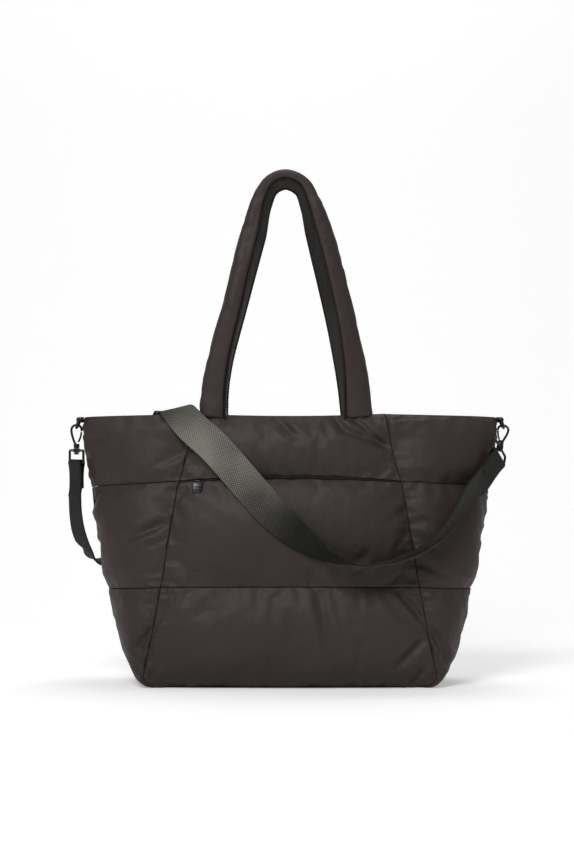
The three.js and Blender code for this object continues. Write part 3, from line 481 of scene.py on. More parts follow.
def blow_out(jobs, cap):
    """Swells skins as slack cloth held at its seams. No point moves further than about the cap."""
    corners = np.concatenate([job["start"] for job in jobs])
    faces = []
    held = []
    offset = 0
    for job in jobs:
        faces.append(job["faces"] + offset)
        held.extend(int(i) + offset for i in job["held"])
        offset += len(job["start"])
    skin = mesh_piece("slack_skin", corners, np.concatenate(faces), paper)
    seam_group = skin.vertex_groups.new(name="seams")
    seam_group.add(held, 1.0, "REPLACE")
    cloth = skin.modifiers.new("filling", "CLOTH")
    settings = cloth.settings
    settings.quality = 6
    settings.mass = 0.25
    settings.tension_stiffness = 18
    settings.compression_stiffness = 10
    settings.shear_stiffness = 4
    settings.bending_stiffness = 0.08
    settings.air_damping = 3
    settings.vertex_group_mass = "seams"
    settings.shrink_min = CLOTH_SLACK
    settings.use_pressure = True
    settings.uniform_pressure_force = CLOTH_PRESSURE
    settings.effector_weights.gravity = 0
    cloth.point_cache.frame_end = CLOTH_FRAMES
    for step in range(1, CLOTH_FRAMES + 1):
        bpy.context.scene.frame_set(step)
    settled = skin.evaluated_get(bpy.context.evaluated_depsgraph_get()).to_mesh()
    moved = np.zeros(len(settled.vertices) * 3, np.float32)
    settled.vertices.foreach_get("co", moved)
    bpy.data.objects.remove(skin)
    bpy.context.scene.frame_set(1)
    shift = moved.reshape(-1, 3) - corners
    reach = np.linalg.norm(shift, axis=1, keepdims=True) + 1e-9
    shift *= cap * np.tanh(reach / cap) / reach
    splits = np.cumsum([len(job["start"]) for job in jobs])[:-1]
    return np.split(corners + shift, splits)


def new_group(name, kind, inputs, outputs):
    """A node group. Each of its sockets is a name, a type and, where it has one, a value."""
    tree = bpy.data.node_groups.new(name, kind)
    for in_out, rows in (("INPUT", inputs), ("OUTPUT", outputs)):
        for label, socket_type, *value in rows:
            socket = tree.interface.new_socket(label, in_out=in_out, socket_type="NodeSocket" + socket_type)
            if value:
                socket.default_value = value[0]
    return tree, tree.nodes.new("NodeGroupInput").outputs, tree.nodes.new("NodeGroupOutput").inputs


def weave_group():
    """Plain weave: height of threads that cross over and under, from a cloth UV in metres."""
    inputs = [("Cloth UV", "Vector"), ("Threads across", "Float", 900.0), ("Threads along", "Float", 900.0)]
    tree, given, result = new_group("plain_weave", "ShaderNodeTree", inputs, [("Height", "Float")])
    split = new_node(tree, "ShaderNodeSeparateXYZ", [given["Cloth UV"]])
    waves = []
    for axis, threads in (("X", "Threads across"), ("Y", "Threads along")):
        scaled = maths(tree, "MULTIPLY", split.outputs[axis], given[threads])
        waves.append(maths(tree, "SINE", maths(tree, "MULTIPLY", scaled, math.pi)))
    tree.links.new(maths(tree, "MULTIPLY", *waves), result["Height"])
    return tree


def crinkle_group():
    """Small soft dents and a slow change of shade, on object coordinates."""
    inputs = [("Dents per metre", "Float", 45.0), ("Clouds per metre", "Float", 9.0)]
    outputs = [("Height", "Float"), ("Cloud", "Float")]
    tree, given, result = new_group("soft_crinkle", "ShaderNodeTree", inputs, outputs)
    place = new_node(tree, "ShaderNodeTexCoord").outputs["Object"]
    for scale, output, detail in (("Dents per metre", "Height", 3), ("Clouds per metre", "Cloud", 2)):
        values = {"Vector": place, "Scale": given[scale], "Detail": detail, "Roughness": 0.5}
        pattern = new_node(tree, "ShaderNodeTexNoise", values)
        tree.links.new(pattern.outputs["Fac"], result[output])
    return tree


PLAIN_WEAVE = weave_group()
SOFT_CRINKLE = crinkle_group()


def add_crinkle(tree, dents, clouds):
    values = {"Dents per metre": dents, "Clouds per metre": clouds}
    return new_node(tree, "ShaderNodeGroup", values, node_tree=SOFT_CRINKLE).outputs


def add_weave(tree, across, along):
    """The weave's height on the piece's own cloth UV, and that UV."""
    cloth_uv = new_node(tree, "ShaderNodeUVMap", uv_map="cloth").outputs["UV"]
    values = {"Cloth UV": cloth_uv, "Threads across": across, "Threads along": along}
    return new_node(tree, "ShaderNodeGroup", values, node_tree=PLAIN_WEAVE).outputs["Height"], cloth_uv


def add_bump(tree, height, strength, distance, under=None):
    values = {"Strength": strength, "Distance": distance, "Height": height}
    if under is not None:
        values["Normal"] = under
    return new_node(tree, "ShaderNodeBump", values).outputs["Normal"]


def shade_ramp(tree, mask, dark, light, low=0.3, high=0.7):
    ramp = new_node(tree, "ShaderNodeValToRGB", {"Fac": mask})
    for element, position, color in zip(ramp.color_ramp.elements, (low, high), (dark, light)):
        element.position = position
        element.color = color
    return ramp.outputs["Color"]


def map_range(tree, value, low, high, start=0, end=1):
    values = {"Value": value, "From Min": start, "From Max": end, "To Min": low, "To Max": high}
    return new_node(tree, "ShaderNodeMapRange", values).outputs["Result"]


def nylon_material():
    material, tree = new_material(
        "brown_nylon", Specular_IOR_Level=0.3, Sheen_Weight=0.05, Sheen_Roughness=0.45,
        Sheen_Tint=(0.8, 0.7, 0.65, 1),
    )
    crinkle = add_crinkle(tree, dents=70.0, clouds=8.0)
    weave, cloth_uv = add_weave(tree, across=1300.0, along=1300.0)
    dents = add_bump(tree, crinkle["Height"], 0.5, 0.0022)
    feed_shader(
        tree,
        Base_Color=shade_ramp(tree, crinkle["Cloud"], NYLON_SHADE, NYLON_BROWN),
        Roughness=map_range(tree, crinkle["Height"], 0.46, 0.56),
        Normal=add_bump(tree, weave, 0.35, 0.00012, dents),
    )
    return material


NYLON = nylon_material()


def dress(piece, node, body="root"):
    """The piece stands for that node of the CAD and on its body."""
    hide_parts(node)
    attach(piece, body)


def finish_padded(piece, node, levels=1):
    if levels:
        fine = piece.modifiers.new("fine", "SUBSURF")
        fine.levels = levels
        fine.render_levels = levels
    dress(piece, node)


pads = [
    Pad(f"{face_name}_{band_name}_{wing_name}", band_name, face, wing_name)
    for face_name, face in FACES.items()
    for band_name in BANDS
    for wing_name in WINGS
]
for pad in pads:
    pad.start = pad.start + pad.out * pad.puckers()[..., None]
jobs = [{"start": p.start.reshape(-1, 3), "faces": p.faces(), "held": p.border()} for p in pads]
for pad, moved in zip(pads, blow_out(jobs, CLOTH_CAP)):
    pad.skin = moved.reshape(pad.start.shape)
for pad in pads:
    skin = pad.skin + pad.out * (pad.gathers() - pad.folds(pad.skin))[..., None]
    skin[..., 2] = np.maximum(skin[..., 2], LOWEST_SKIN)
    corners = np.concatenate([skin.reshape(-1, 3), pad.inner.reshape(-1, 3)])
    cloth_uv = np.stack([pad.run.ravel(), pad.climbed.ravel()], 1)
    faces = pad.closed_faces(pad.faces(), len(pad.shares) * len(pad.rows))
    pad.piece = mesh_piece(f"{pad.name}_pad", corners, faces, NYLON, np.tile(cloth_uv, (2, 1)))
    finish_padded(pad.piece, pad.name)

# Base: the flat bottom, one more piece of the same nylon over a firm sheet, sewn in between the
# rolled lower edges of the pads.
BASE_THICKNESS = WALL
BASE_RINGS = 14
BASE_RING_EASE = 1.4
BASE_SIDE_STEPS = 36
BASE_CROWN = 0.0012
BASE_EDGES = [
    {"wing": 0, "face": -1, "reverse": False},
    {"wing": 1, "face": -1, "reverse": False},
    {"wing": 1, "face": 1, "reverse": True},
    {"wing": 0, "face": 1, "reverse": True},
    {"wing": -1, "face": 1, "reverse": False},
    {"wing": -1, "face": -1, "reverse": True},
]

outline = []
for edge in BASE_EDGES:
    shares = eased_shares(BASE_SIDE_STEPS)[:-1]
    if edge["reverse"]:
        shares = 1 - shares
    place = wall_place("lower", edge["face"], edge["wing"], shares, np.zeros_like(shares))
    outline.append(place["point"] - place["climb"] * SEAM_GAP / 2)
outline = np.concatenate(outline)
base_corners = []
for thickness, crown in ((0.0, 0.0), (BASE_THICKNESS, BASE_CROWN)):
    for ring in range(BASE_RINGS):
        share = 1 - (ring / BASE_RINGS) ** BASE_RING_EASE
        level = outline * (share, share, 0)
        level[:, 2] = thickness + crown * (1 - share ** 4)
        base_corners.append(level)
base_corners = np.concatenate(base_corners)
around = len(outline)
base_faces = []
for side in (0, 1):
    for ring in range(BASE_RINGS - 1):
        here = (side * BASE_RINGS + ring) * around
        for i in range(around):
            after = (i + 1) % around
            quad = [here + i, here + after, here + around + after, here + around + i]
            base_faces.append(quad if side else quad[::-1])
    middle = [(side * BASE_RINGS + BASE_RINGS - 1) * around + i for i in range(around)]
    base_faces.append(middle if side else middle[::-1])
rim_start = BASE_RINGS * around
for i in range(around):
    after = (i + 1) % around
    base_faces.append([i, after, rim_start + after, rim_start + i])
base = mesh_piece("base_pad", base_corners, base_faces, NYLON, base_corners[:, :2])
finish_padded(base, "base_panel", levels=0)

# Webbing: ribbed nylon tape in olive grey, used for the handles' inner strips, the tabs at the
# corners and the shoulder strap. Its stitches are black thread.
WEBBING_THICKNESS = 0.0018
WEBBING_OLIVE = (0.026, 0.026, 0.021, 1)
WEBBING_SHADE = (0.012, 0.012, 0.010, 1)
# Painted highlight: the lighter colour of the strap's glossy stretch over the front, where it catches the
# light.
WEBBING_PAINTED_SHEEN = (0.30, 0.285, 0.245, 1)
HANDLE_WEBBING = (0.042, 0.036, 0.031, 1)
# Painted shade: the darker colour of the strap's end round the left side, where the bag shades it.
WEBBING_UNLIT = (0.006, 0.006, 0.005, 1)
WEBBING_ROUGHNESS = 0.6
THREAD_BLACK = (0.009, 0.008, 0.008, 1)


def webbing_material(name, light=WEBBING_OLIVE, painted_sheen_span=None, painted_shade_span=None):
    """The sheen span (third argument) is how far along the tape a glossier stretch, painted lighter as a
    painted highlight, starts, peaks and ends, in metres. The shade span (fourth argument) is where a
    painted shade starts to darken the tape and where it is darkest."""
    material, tree = new_material(
        name, Roughness=WEBBING_ROUGHNESS, Specular_IOR_Level=0.16, Sheen_Weight=0.03,
        Sheen_Roughness=0.35, Sheen_Tint=(0.85, 0.85, 0.75, 1),
    )
    crinkle = add_crinkle(tree, dents=160.0, clouds=14.0)
    weave, cloth_uv = add_weave(tree, across=520.0, along=800.0)
    shade = maths(tree, "MULTIPLY_ADD", weave, 0.3, crinkle["Cloud"])
    color = shade_ramp(tree, shade, WEBBING_SHADE, light, 0.2, 0.8)
    dents = add_bump(tree, crinkle["Height"], 0.3, 0.001)
    feed_shader(tree, Base_Color=color, Normal=add_bump(tree, weave, 0.8, 0.0004, dents))
    if painted_sheen_span is None:
        return material
    # A glossier stretch along the tape, whose colour is also painted lighter: a painted highlight.
    along = new_node(tree, "ShaderNodeSeparateXYZ", [cloth_uv]).outputs["Y"]
    ramp = new_node(tree, "ShaderNodeValToRGB", {"Fac": along})
    elements = ramp.color_ramp.elements
    ramp.color_ramp.interpolation = "EASE"
    for place in painted_sheen_span[1:-1]:
        elements.new(place).color = (1, 1, 1, 1)
    for end in (0, -1):
        elements[end].position = painted_sheen_span[end]
        elements[end].color = (0, 0, 0, 1)
    gloss_and_painted_sheen = ramp.outputs["Color"]
    painted_sheen_color = shade_ramp(tree, shade, WEBBING_OLIVE, WEBBING_PAINTED_SHEEN, 0.2, 0.8)
    # The first mix paints the highlight in, the second paints shade over the end round the left side.
    for factor, other in ((gloss_and_painted_sheen, painted_sheen_color), (map_range(tree, along, 0, 1, *painted_shade_span), WEBBING_UNLIT)):
        values = {"Factor": factor, "A": color, "B": other}
        color = new_node(tree, "ShaderNodeMix", values, data_type="RGBA").outputs["Result"]
    feed_shader(tree, Base_Color=color, Roughness=map_range(tree, gloss_and_painted_sheen, WEBBING_ROUGHNESS, 0.36))
    return material


def thread_material():
    material, tree = new_material("black_thread", Roughness=0.55)
    crinkle = add_crinkle(tree, dents=900.0, clouds=60.0)
    feed_shader(
        tree,
        Base_Color=shade_ramp(tree, crinkle["Cloud"], THREAD_BLACK, WEBBING_SHADE),
        Normal=add_bump(tree, crinkle["Height"], 0.5, 0.0003),
    )
    return material


WEBBING = webbing_material("olive_webbing")
BROWN_WEBBING = webbing_material("handle_webbing", HANDLE_WEBBING)
THREAD = thread_material()


def stitch_tree():
    """Stitches along the object's edge lines: an oval of thread at each step of a line."""
    inputs = [
        ("Lines", "Geometry"), ("Pitch", "Float", 0.003), ("Stitch length", "Float", 0.0022),
        ("Thread width", "Float", 0.0006), ("Thread", "Material"),
    ]
    tree, given, result = new_group("stitch_row", "GeometryNodeTree", inputs, [("Stitches", "Geometry")])
    line = new_node(tree, "GeometryNodeMeshToCurve", {"Mesh": given["Lines"]}).outputs["Curve"]
    steps = {"Curve": line, "Length": given["Pitch"]}
    bead = {"Segments": 6, "Rings": 4, "Radius": 0.5}
    size = {"X": given["Thread width"], "Y": given["Thread width"], "Z": given["Stitch length"]}
    tangent = {"Vector": new_node(tree, "GeometryNodeInputTangent").outputs[0]}
    placed = {
        "Points": new_node(tree, "GeometryNodeResampleCurve", steps, mode="LENGTH").outputs["Curve"],
        "Instance": new_node(tree, "GeometryNodeMeshUVSphere", bead).outputs["Mesh"],
        "Rotation": new_node(tree, "FunctionNodeAlignRotationToVector", tangent, axis="Z").outputs[0],
        "Scale": new_node(tree, "ShaderNodeCombineXYZ", size).outputs[0],
    }
    beads = new_node(tree, "GeometryNodeInstanceOnPoints", placed).outputs["Instances"]
    thread = new_node(tree, "GeometryNodeRealizeInstances", [beads]).outputs[0]
    painted = new_node(tree, "GeometryNodeSetMaterial", {"Geometry": thread, "Material": given["Thread"]})
    tree.links.new(painted.outputs[0], result["Stitches"])
    return tree


STITCH_ROW = stitch_tree()


def stitches(name, lines, slot="webbing", **values):
    """A piece of thread along the lines, each a row of points. values are the tree's inputs."""
    mesh = bpy.data.meshes.new(name + "_lines")
    corners = np.concatenate(lines)
    edges = []
    first = 0
    for line in lines:
        edges.extend((first + i, first + i + 1) for i in range(len(line) - 1))
        first += len(line)
    mesh.from_pydata(corners.tolist(), edges, [])
    guide = bpy.data.objects.new(name + "_lines", mesh)
    bpy.context.scene.collection.objects.link(guide)
    rows = guide.modifiers.new("rows", "NODES")
    rows.node_group = STITCH_ROW
    sockets = {s.name: s.identifier for s in STITCH_ROW.interface.items_tree if s.in_out == "INPUT"}
    rows[sockets["Thread"]] = THREAD
    for key, value in values.items():
        rows[sockets[key.replace("_", " ")]] = value
    sewn = guide.evaluated_get(bpy.context.evaluated_depsgraph_get())
    made = bpy.data.meshes.new_from_object(sewn)
    made.name = name
    bpy.data.objects.remove(guide)
    piece = bpy.data.objects.new(name, made)
    bpy.context.scene.collection.objects.link(piece)
    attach(piece, "root")


# Handles: two stuffed tubes of the nylon, each sewn shut along its inner side under a strip of
# webbing with a row of stitches near each edge. The legs are sewn to the rim.
HANDLE_RISE = 0.282
HANDLE_SPREAD = 0.167
HANDLE_OFFSET = -0.005
HANDLE_WIDTH = 0.036
HANDLE_LEAN = 0.4
HANDLE_WEB_WIDTH = 0.024
HANDLE_WEB_SHARE = 0.8
FIT_GAP = 0.0003
HANDLE_STATIONS = 150
HANDLE_AROUND = 30
HANDLE_START = 0.93
HANDLE_SQUARE = 0.86
HANDLE_UNDER_WEB = 0.95
HANDLE_CAP = 0.0008
HANDLE_PUCKER = 0.0007
HANDLE_CREASES = {"stretch": (60, 60, 130), "seed": 11.3}
HANDLE_BARE_STATIONS = 5
STITCH_INSET = 0.0022
HANDLE_COLUMNS = ("across", "up", "seen", "deep", "twist")
HANDLE = np.array([
    (-1.020, -0.012, 0.93, 0.60, 0),
    (-0.995, 0.090, 0.83, 0.72, 0),
    (-0.915, 0.240, 0.78, 0.90, 4),
    (-0.735, 0.445, 0.75, 1.00, 8),
    (-0.605, 0.595, 0.73, 1.00, 14),
    (-0.455, 0.760, 0.72, 1.00, 16),
    (-0.345, 0.880, 0.54, 1.00, 16),
    (-0.205, 0.955, 0.42, 1.00, 14),
    (0.000, 0.980, 0.40, 1.00, 12),
    (0.225, 0.950, 0.42, 1.00, 14),
    (0.360, 0.870, 0.54, 1.00, 18),
    (0.455, 0.780, 0.69, 1.00, 24),
    (0.560, 0.670, 0.75, 1.00, 28),
    (0.690, 0.520, 0.79, 1.00, 28),
    (0.825, 0.350, 0.84, 0.92, 26),
    (0.945, 0.160, 0.93, 0.76, 18),
    (1.010, -0.012, 1.00, 0.60, 6),
])


class SmoothRun:
    """A smooth line through points, centripetal so that it never loops between them."""

    def __init__(self, points):
        self.points = np.asarray(points, float)
        samples = np.array([self.point(i / 200) for i in range(201)])
        steps = np.linalg.norm(np.diff(samples, axis=0), axis=1)
        self.lengths = np.concatenate([[0], np.cumsum(steps)])

    def point(self, t):
        points = self.points
        place = np.clip(t, 0, 1) * (len(points) - 1)
        low = min(int(place), len(points) - 2)
        rest = place - low
        b, c = points[low], points[low + 1]
        a = points[low - 1] if low > 0 else 2 * b - c
        d = points[low + 2] if low + 2 < len(points) else 2 * c - b
        da, db, dc = (max(np.linalg.norm(q - p) ** 0.5, 1e-5) for p, q in ((a, b), (b, c), (c, d)))
        leave = ((b - a) / da - (c - a) / (da + db) + (c - b) / db) * db
        arrive = ((c - b) / db - (d - b) / (db + dc) + (d - c) / dc) * db
        square = -3 * b + 3 * c - 2 * leave - arrive
        cube = 2 * b - 2 * c + leave + arrive
        return b + leave * rest + square * rest ** 2 + cube * rest ** 3

    def ahead(self, t):
        way = self.point(min(t + 1e-4, 1)) - self.point(max(t - 1e-4, 0))
        return way / np.linalg.norm(way)

    def at_share(self, share):
        """The place on the line at that share of its length."""
        return np.interp(share * self.lengths[-1], self.lengths, np.linspace(0, 1, 201))


def unit(way):
    return way / np.linalg.norm(way, axis=-1, keepdims=True)


def turned_about(way, axis, angle):
    return way * math.cos(angle) + np.cross(axis, way) * math.sin(angle)


def handle_stations(face):
    rim_seam = read_section(BODY_HEIGHT)["seam"]
    points = []
    for row in HANDLE:
        x = HANDLE_OFFSET + row[0] * HANDLE_SPREAD / 2
        share = (x / rim_seam + 1) / 2
        rim = abs(wall_place("upper", face, 0, [share], [1.0])["point"][0, 1])
        y = rim + (HANDLE_LEAN * HALF_DEPTH - rim) * max(row[1], 0)
        points.append((x, face * y, BODY_HEIGHT + row[1] * HANDLE_RISE))
    run = SmoothRun(points)
    stations = []
    for i in range(HANDLE_STATIONS + 1):
        t = i / HANDLE_STATIONS
        row = t * (len(HANDLE) - 1)
        rows = np.arange(len(HANDLE))
        at = {name: np.interp(row, rows, HANDLE[:, k]) for k, name in enumerate(HANDLE_COLUMNS)}
        ahead = run.ahead(t)
        front = unit(np.array([0, 1, 0]) - ahead * ahead[1])
        out = unit(np.cross(ahead, front))
        turn = math.radians(at["twist"]) * face
        stations.append({
            "point": run.point(t),
            "out": turned_about(out, ahead, turn),
            "front": turned_about(front, ahead, turn),
            "seen": at["seen"] * HANDLE_WIDTH / 2,
            "deep": at["deep"] * HANDLE_WIDTH / 2,
        })
    return stations


def rings_to_faces(rings, around, offset=0):
    here = np.arange(rings - 1)[:, None] * around + np.arange(around)[None] + offset
    after = np.arange(rings - 1)[:, None] * around + (np.arange(around)[None] + 1) % around + offset
    quads = np.stack([here, after, after + around, here + around], -1)
    return quads.reshape(-1, 4)


def ring_faces(rings, around, closed=False):
    """The faces through equal rings, closed from the last to the first or with flat ends."""
    faces = rings_to_faces(rings, around).tolist()
    last = (rings - 1) * around
    if closed:
        return faces + [[last + k, last + (k + 1) % around, (k + 1) % around, k] for k in range(around)]
    return faces + [list(range(around))[::-1], [last + k for k in range(around)]]


def facing_out(corners, faces):
    """The faces of a closed shape, turned so that they point out."""
    volume = 0.0
    for face in faces:
        a = corners[face[0]]
        for k in range(1, len(face) - 1):
            volume += np.dot(a, np.cross(corners[face[k]], corners[face[k + 1]]))
    return faces if volume > 0 else [list(face)[::-1] for face in faces]


def tube_piece(name, rings, material, uvs=None):
    """A closed piece through equal rings of corners, with flat ends."""
    count, around = len(rings), len(rings[0])
    corners = np.asarray(rings).reshape(-1, 3)
    faces = ring_faces(count, around)
    if uvs is None:
        girth = np.linalg.norm(np.diff(np.asarray(rings), axis=1), axis=2).mean() * around
        middle = np.asarray(rings).mean(1)
        run = np.concatenate([[0], np.cumsum(np.linalg.norm(np.diff(middle, axis=0), axis=1))])
        ups, overs = np.meshgrid(run, np.linspace(0, girth, around), indexing="ij")
        uvs = np.stack([overs.ravel(), ups.ravel()], 1)
    return mesh_piece(name, corners, facing_out(corners, faces), material, uvs)


def handle_skin(stations):
    lip = WEBBING_THICKNESS + 2 * FIT_GAP
    angles = (np.arange(HANDLE_AROUND) + 0.5) / HANDLE_AROUND * 2 * math.pi
    rings = []
    for s in stations:
        seen = np.sign(np.cos(angles)) * np.abs(np.cos(angles)) ** HANDLE_SQUARE * s["seen"]
        deep = np.sign(np.sin(angles)) * np.abs(np.sin(angles)) ** HANDLE_SQUARE * s["deep"]
        flat = np.maximum(seen, -s["seen"] + lip)
        rings.append(s["point"] + flat[:, None] * s["out"] + deep[:, None] * s["front"])
    return np.array(rings), angles


def web_half(station):
    return min(HANDLE_WEB_WIDTH / 2, station["deep"] * HANDLE_WEB_SHARE)


handles = []
for handle_name, face in (("front", -1), ("rear", 1)):
    stations = handle_stations(face)
    rings, angles = handle_skin(stations)
    middle = np.array([s["point"] for s in stations])[:, None]
    under_web = np.abs(angles - math.pi) < HANDLE_UNDER_WEB
    start = middle + (rings - middle) * np.where(under_web, 1, HANDLE_START)[None, :, None]
    held = np.zeros(rings.shape[:2], bool)
    held[:, under_web] = True
    held[:2] = True
    held[-2:] = True
    handles.append({
        "name": handle_name, "stations": stations, "rings": rings, "start": start, "held": held,
    })
jobs = [
    {
        "start": handle["start"].reshape(-1, 3),
        "faces": rings_to_faces(len(handle["rings"]), HANDLE_AROUND),
        "held": np.flatnonzero(handle["held"]).tolist(),
    }
    for handle in handles
]
for handle, moved in zip(handles, blow_out(jobs, HANDLE_CAP)):
    handle["skin"] = moved.reshape(handle["rings"].shape)


def flat_ring(station, width, thickness):
    """The outline of a tape at one place, with its edges a little rounded."""
    shares = np.array([-1, -0.975, -0.9, -0.6, -0.2, 0.2, 0.6, 0.9, 0.975, 1])
    full = np.array([0.3, 0.75, 1, 1, 1, 1, 1, 1, 0.75, 0.3]) * thickness / 2
    across = np.concatenate([shares, shares[::-1]]) * width / 2
    depth = np.concatenate([full, -full[::-1]])
    ring = station["point"] + across[:, None] * station["wide"] + depth[:, None] * station["thick"]
    return ring, across


def tape_piece(name, stations, width, thickness, material=WEBBING):
    rings = []
    uvs = []
    run = 0.0
    for i, station in enumerate(stations):
        if i:
            run += np.linalg.norm(station["point"] - stations[i - 1]["point"])
        ring, across = flat_ring(station, station.get("width", width), thickness)
        rings.append(ring)
        uvs.append(np.stack([across, np.full_like(across, run)], 1))
    return tube_piece(name, rings, material, np.concatenate(uvs))


for handle in handles:
    skin = handle["skin"]
    middle = skin.mean(1, keepdims=True)
    creases = noise_values(skin.reshape(-1, 3), HANDLE_CREASES["stretch"], HANDLE_CREASES["seed"])
    creases = creases.reshape(skin.shape[:2])
    skin = skin + unit(skin - middle) * (HANDLE_PUCKER * creases * ~handle["held"])[..., None]
    piece = tube_piece(f"{handle['name']}_handle_tube", skin, NYLON)
    finish_padded(piece, f"{handle['name']}_handle")
    strips = [
        {
            "point": s["point"] + (WEBBING_THICKNESS / 2 - s["seen"]) * s["out"],
            "wide": s["front"],
            "thick": s["out"],
            "width": 2 * web_half(s),
        }
        for s in handle["stations"]
    ]
    strip = tape_piece(
        f"{handle['name']}_handle_strip", strips, HANDLE_WEB_WIDTH, WEBBING_THICKNESS, BROWN_WEBBING,
    )
    dress(strip, f"{handle['name']}_handle_webbing")
    rows = [
        np.array([
            s["point"] + side * (web_half(s) - STITCH_INSET) * s["front"] - s["seen"] * s["out"]
            for s in handle["stations"][HANDLE_BARE_STATIONS:-HANDLE_BARE_STATIONS]
        ])
        for side in (-1, 1)
    ]
    stitches(f"{handle['name']}_handle_stitches", rows, Pitch=0.0036, Stitch_length=0.0028)

# Black metal: cast snap hooks, bent rings and the zip's slider, all lacquered black over zinc, a
# little rubbed where they touch.
METAL_BLACK = (0.010, 0.010, 0.011, 1)
METAL_RUBBED = (0.035, 0.034, 0.036, 1)
WIRE_SIDES = 14


def metal_material():
    material, tree = new_material("black_metal", Metallic=0.55, Coat_Weight=0.3, Coat_Roughness=0.25)
    crinkle = add_crinkle(tree, dents=600.0, clouds=90.0)
    feed_shader(
        tree,
        Base_Color=shade_ramp(tree, crinkle["Cloud"], METAL_BLACK, METAL_RUBBED, 0.45, 0.8),
        Roughness=map_range(tree, crinkle["Cloud"], 0.28, 0.42),
        Normal=add_bump(tree, crinkle["Height"], 0.15, 0.0003),
    )
    return material


METAL = metal_material()


def wire_shape(points, radius, normal, closed=False):
    points = np.asarray(points, float)
    before = np.roll(points, 1, 0)
    after = np.roll(points, -1, 0)
    if not closed:
        before[0] = points[0]
        after[-1] = points[-1]
    side = np.cross(unit(after - before), normal)
    angles = (np.arange(WIRE_SIDES) + 0.5) / WIRE_SIDES * 2 * math.pi
    radii = np.full(len(points), radius)
    ends = [] if closed else [(0, 0.55), (-1, 0.55)]
    for index, share in ends:
        radii[index] *= share
    rings = (
        points[:, None]
        + radii[:, None, None] * np.cos(angles)[None, :, None] * np.asarray(normal)
        + radii[:, None, None] * np.sin(angles)[None, :, None] * side[:, None]
    )
    faces = ring_faces(len(points), WIRE_SIDES, closed)
    corners = rings.reshape(-1, 3)
    return corners, facing_out(corners, faces)


def turned_shape(profile, sides=28, ring=False):
    """A shape turned about z. profile is radius and height; a ring's profile joins its own start."""
    angles = np.arange(sides) / sides * 2 * math.pi
    corners = np.array([
        (radius * math.cos(a), radius * math.sin(a), height) for radius, height in profile for a in angles
    ])
    faces = ring_faces(len(profile), sides, closed=ring)
    return corners, facing_out(corners, faces)


def metal_piece(name, shapes, node, body, place=None):
    corners = []
    faces = []
    first = 0
    for shape_corners, shape_faces in shapes:
        corners.append(shape_corners)
        faces.extend([[first + i for i in face] for face in shape_faces])
        first += len(shape_corners)
    corners = np.concatenate(corners)
    if place is not None:
        turn = np.array(place)
        corners = corners @ turn[:3, :3].T + turn[:3, 3]
    dress(mesh_piece(name, corners, faces, METAL), node, body)


def along_smooth(points, count):
    run = SmoothRun(points)
    return np.array([run.point(run.at_share(i / count)) for i in range(count + 1)])


# Corner tabs and D-rings: at each top corner a folded tab of webbing, stitched into the side
# seam, holds a bent steel D-ring.
RING_WIRE = 0.003
D_RING_WIDTH = 0.024
D_RING_DROP = 0.0104
D_RING_LEAN = 20
D_RING_SQUARE = 0.8
TAB_WIDTH = 0.018
TAB_THICKNESS = 0.0014
TAB_STAND_OFF = 0.001
TAB_BELOW_RIM = 0.003
LEVEL = np.array([0, 1.0, 0])
CLIPS = [
    {"side": "left", "hand": -1, "lean": 0, "forward": 0, "turn": 27, "leave": 0},
    {"side": "right", "hand": 1, "lean": 12, "forward": 30, "turn": -22, "leave": 24},
]
ring_radius = RING_WIRE / 2
bar_out = WALL / 2 + FIT_GAP + TAB_THICKNESS + 2 * FIT_GAP + ring_radius


def fold_places(bar_radius, thickness, tail, gap, arc_steps=12):
    """A tape folded round a bar: places across the fold, and back along the tape from the bar."""
    turn = bar_radius + FIT_GAP + thickness / 2
    close = (thickness + gap) / 2
    arc = [
        (turn * math.cos(a), 0, turn * math.sin(a)) for a in np.linspace(0, math.pi, arc_steps + 1)
    ]
    legs = [(tail, 1.0), (0.45 * tail, 1.0), (0.2 * tail, 0.6)]
    right = [(turn + (close - turn) * far, 0, -depth) for depth, far in legs]
    left = [(-x, y, z) for x, y, z in right[::-1]]
    return np.array(right + arc + left)


def stations_along(places, place):
    turn = np.array(place)
    points = places @ turn[:3, :3].T + turn[:3, 3]
    wide = unit(turn[:3, :3] @ np.array([0.0, 1.0, 0.0]))
    return with_thickness(points, [wide] * len(points))


def with_thickness(points, wides):
    stations = []
    for i, point in enumerate(points):
        ahead = unit(points[min(i + 1, len(points) - 1)] - points[max(i - 1, 0)])
        wide = unit(wides[i] - ahead * np.dot(wides[i], ahead))
        stations.append({"point": point, "wide": wide, "thick": unit(np.cross(ahead, wide))})
    return stations


def finer(stations, steps):
    points = SmoothRun([s["point"] for s in stations])
    wides = SmoothRun([s["wide"] for s in stations])
    count = (len(stations) - 1) * steps
    shares = [i / count for i in range(count + 1)]
    return with_thickness([points.point(t) for t in shares], [wides.point(t) for t in shares])


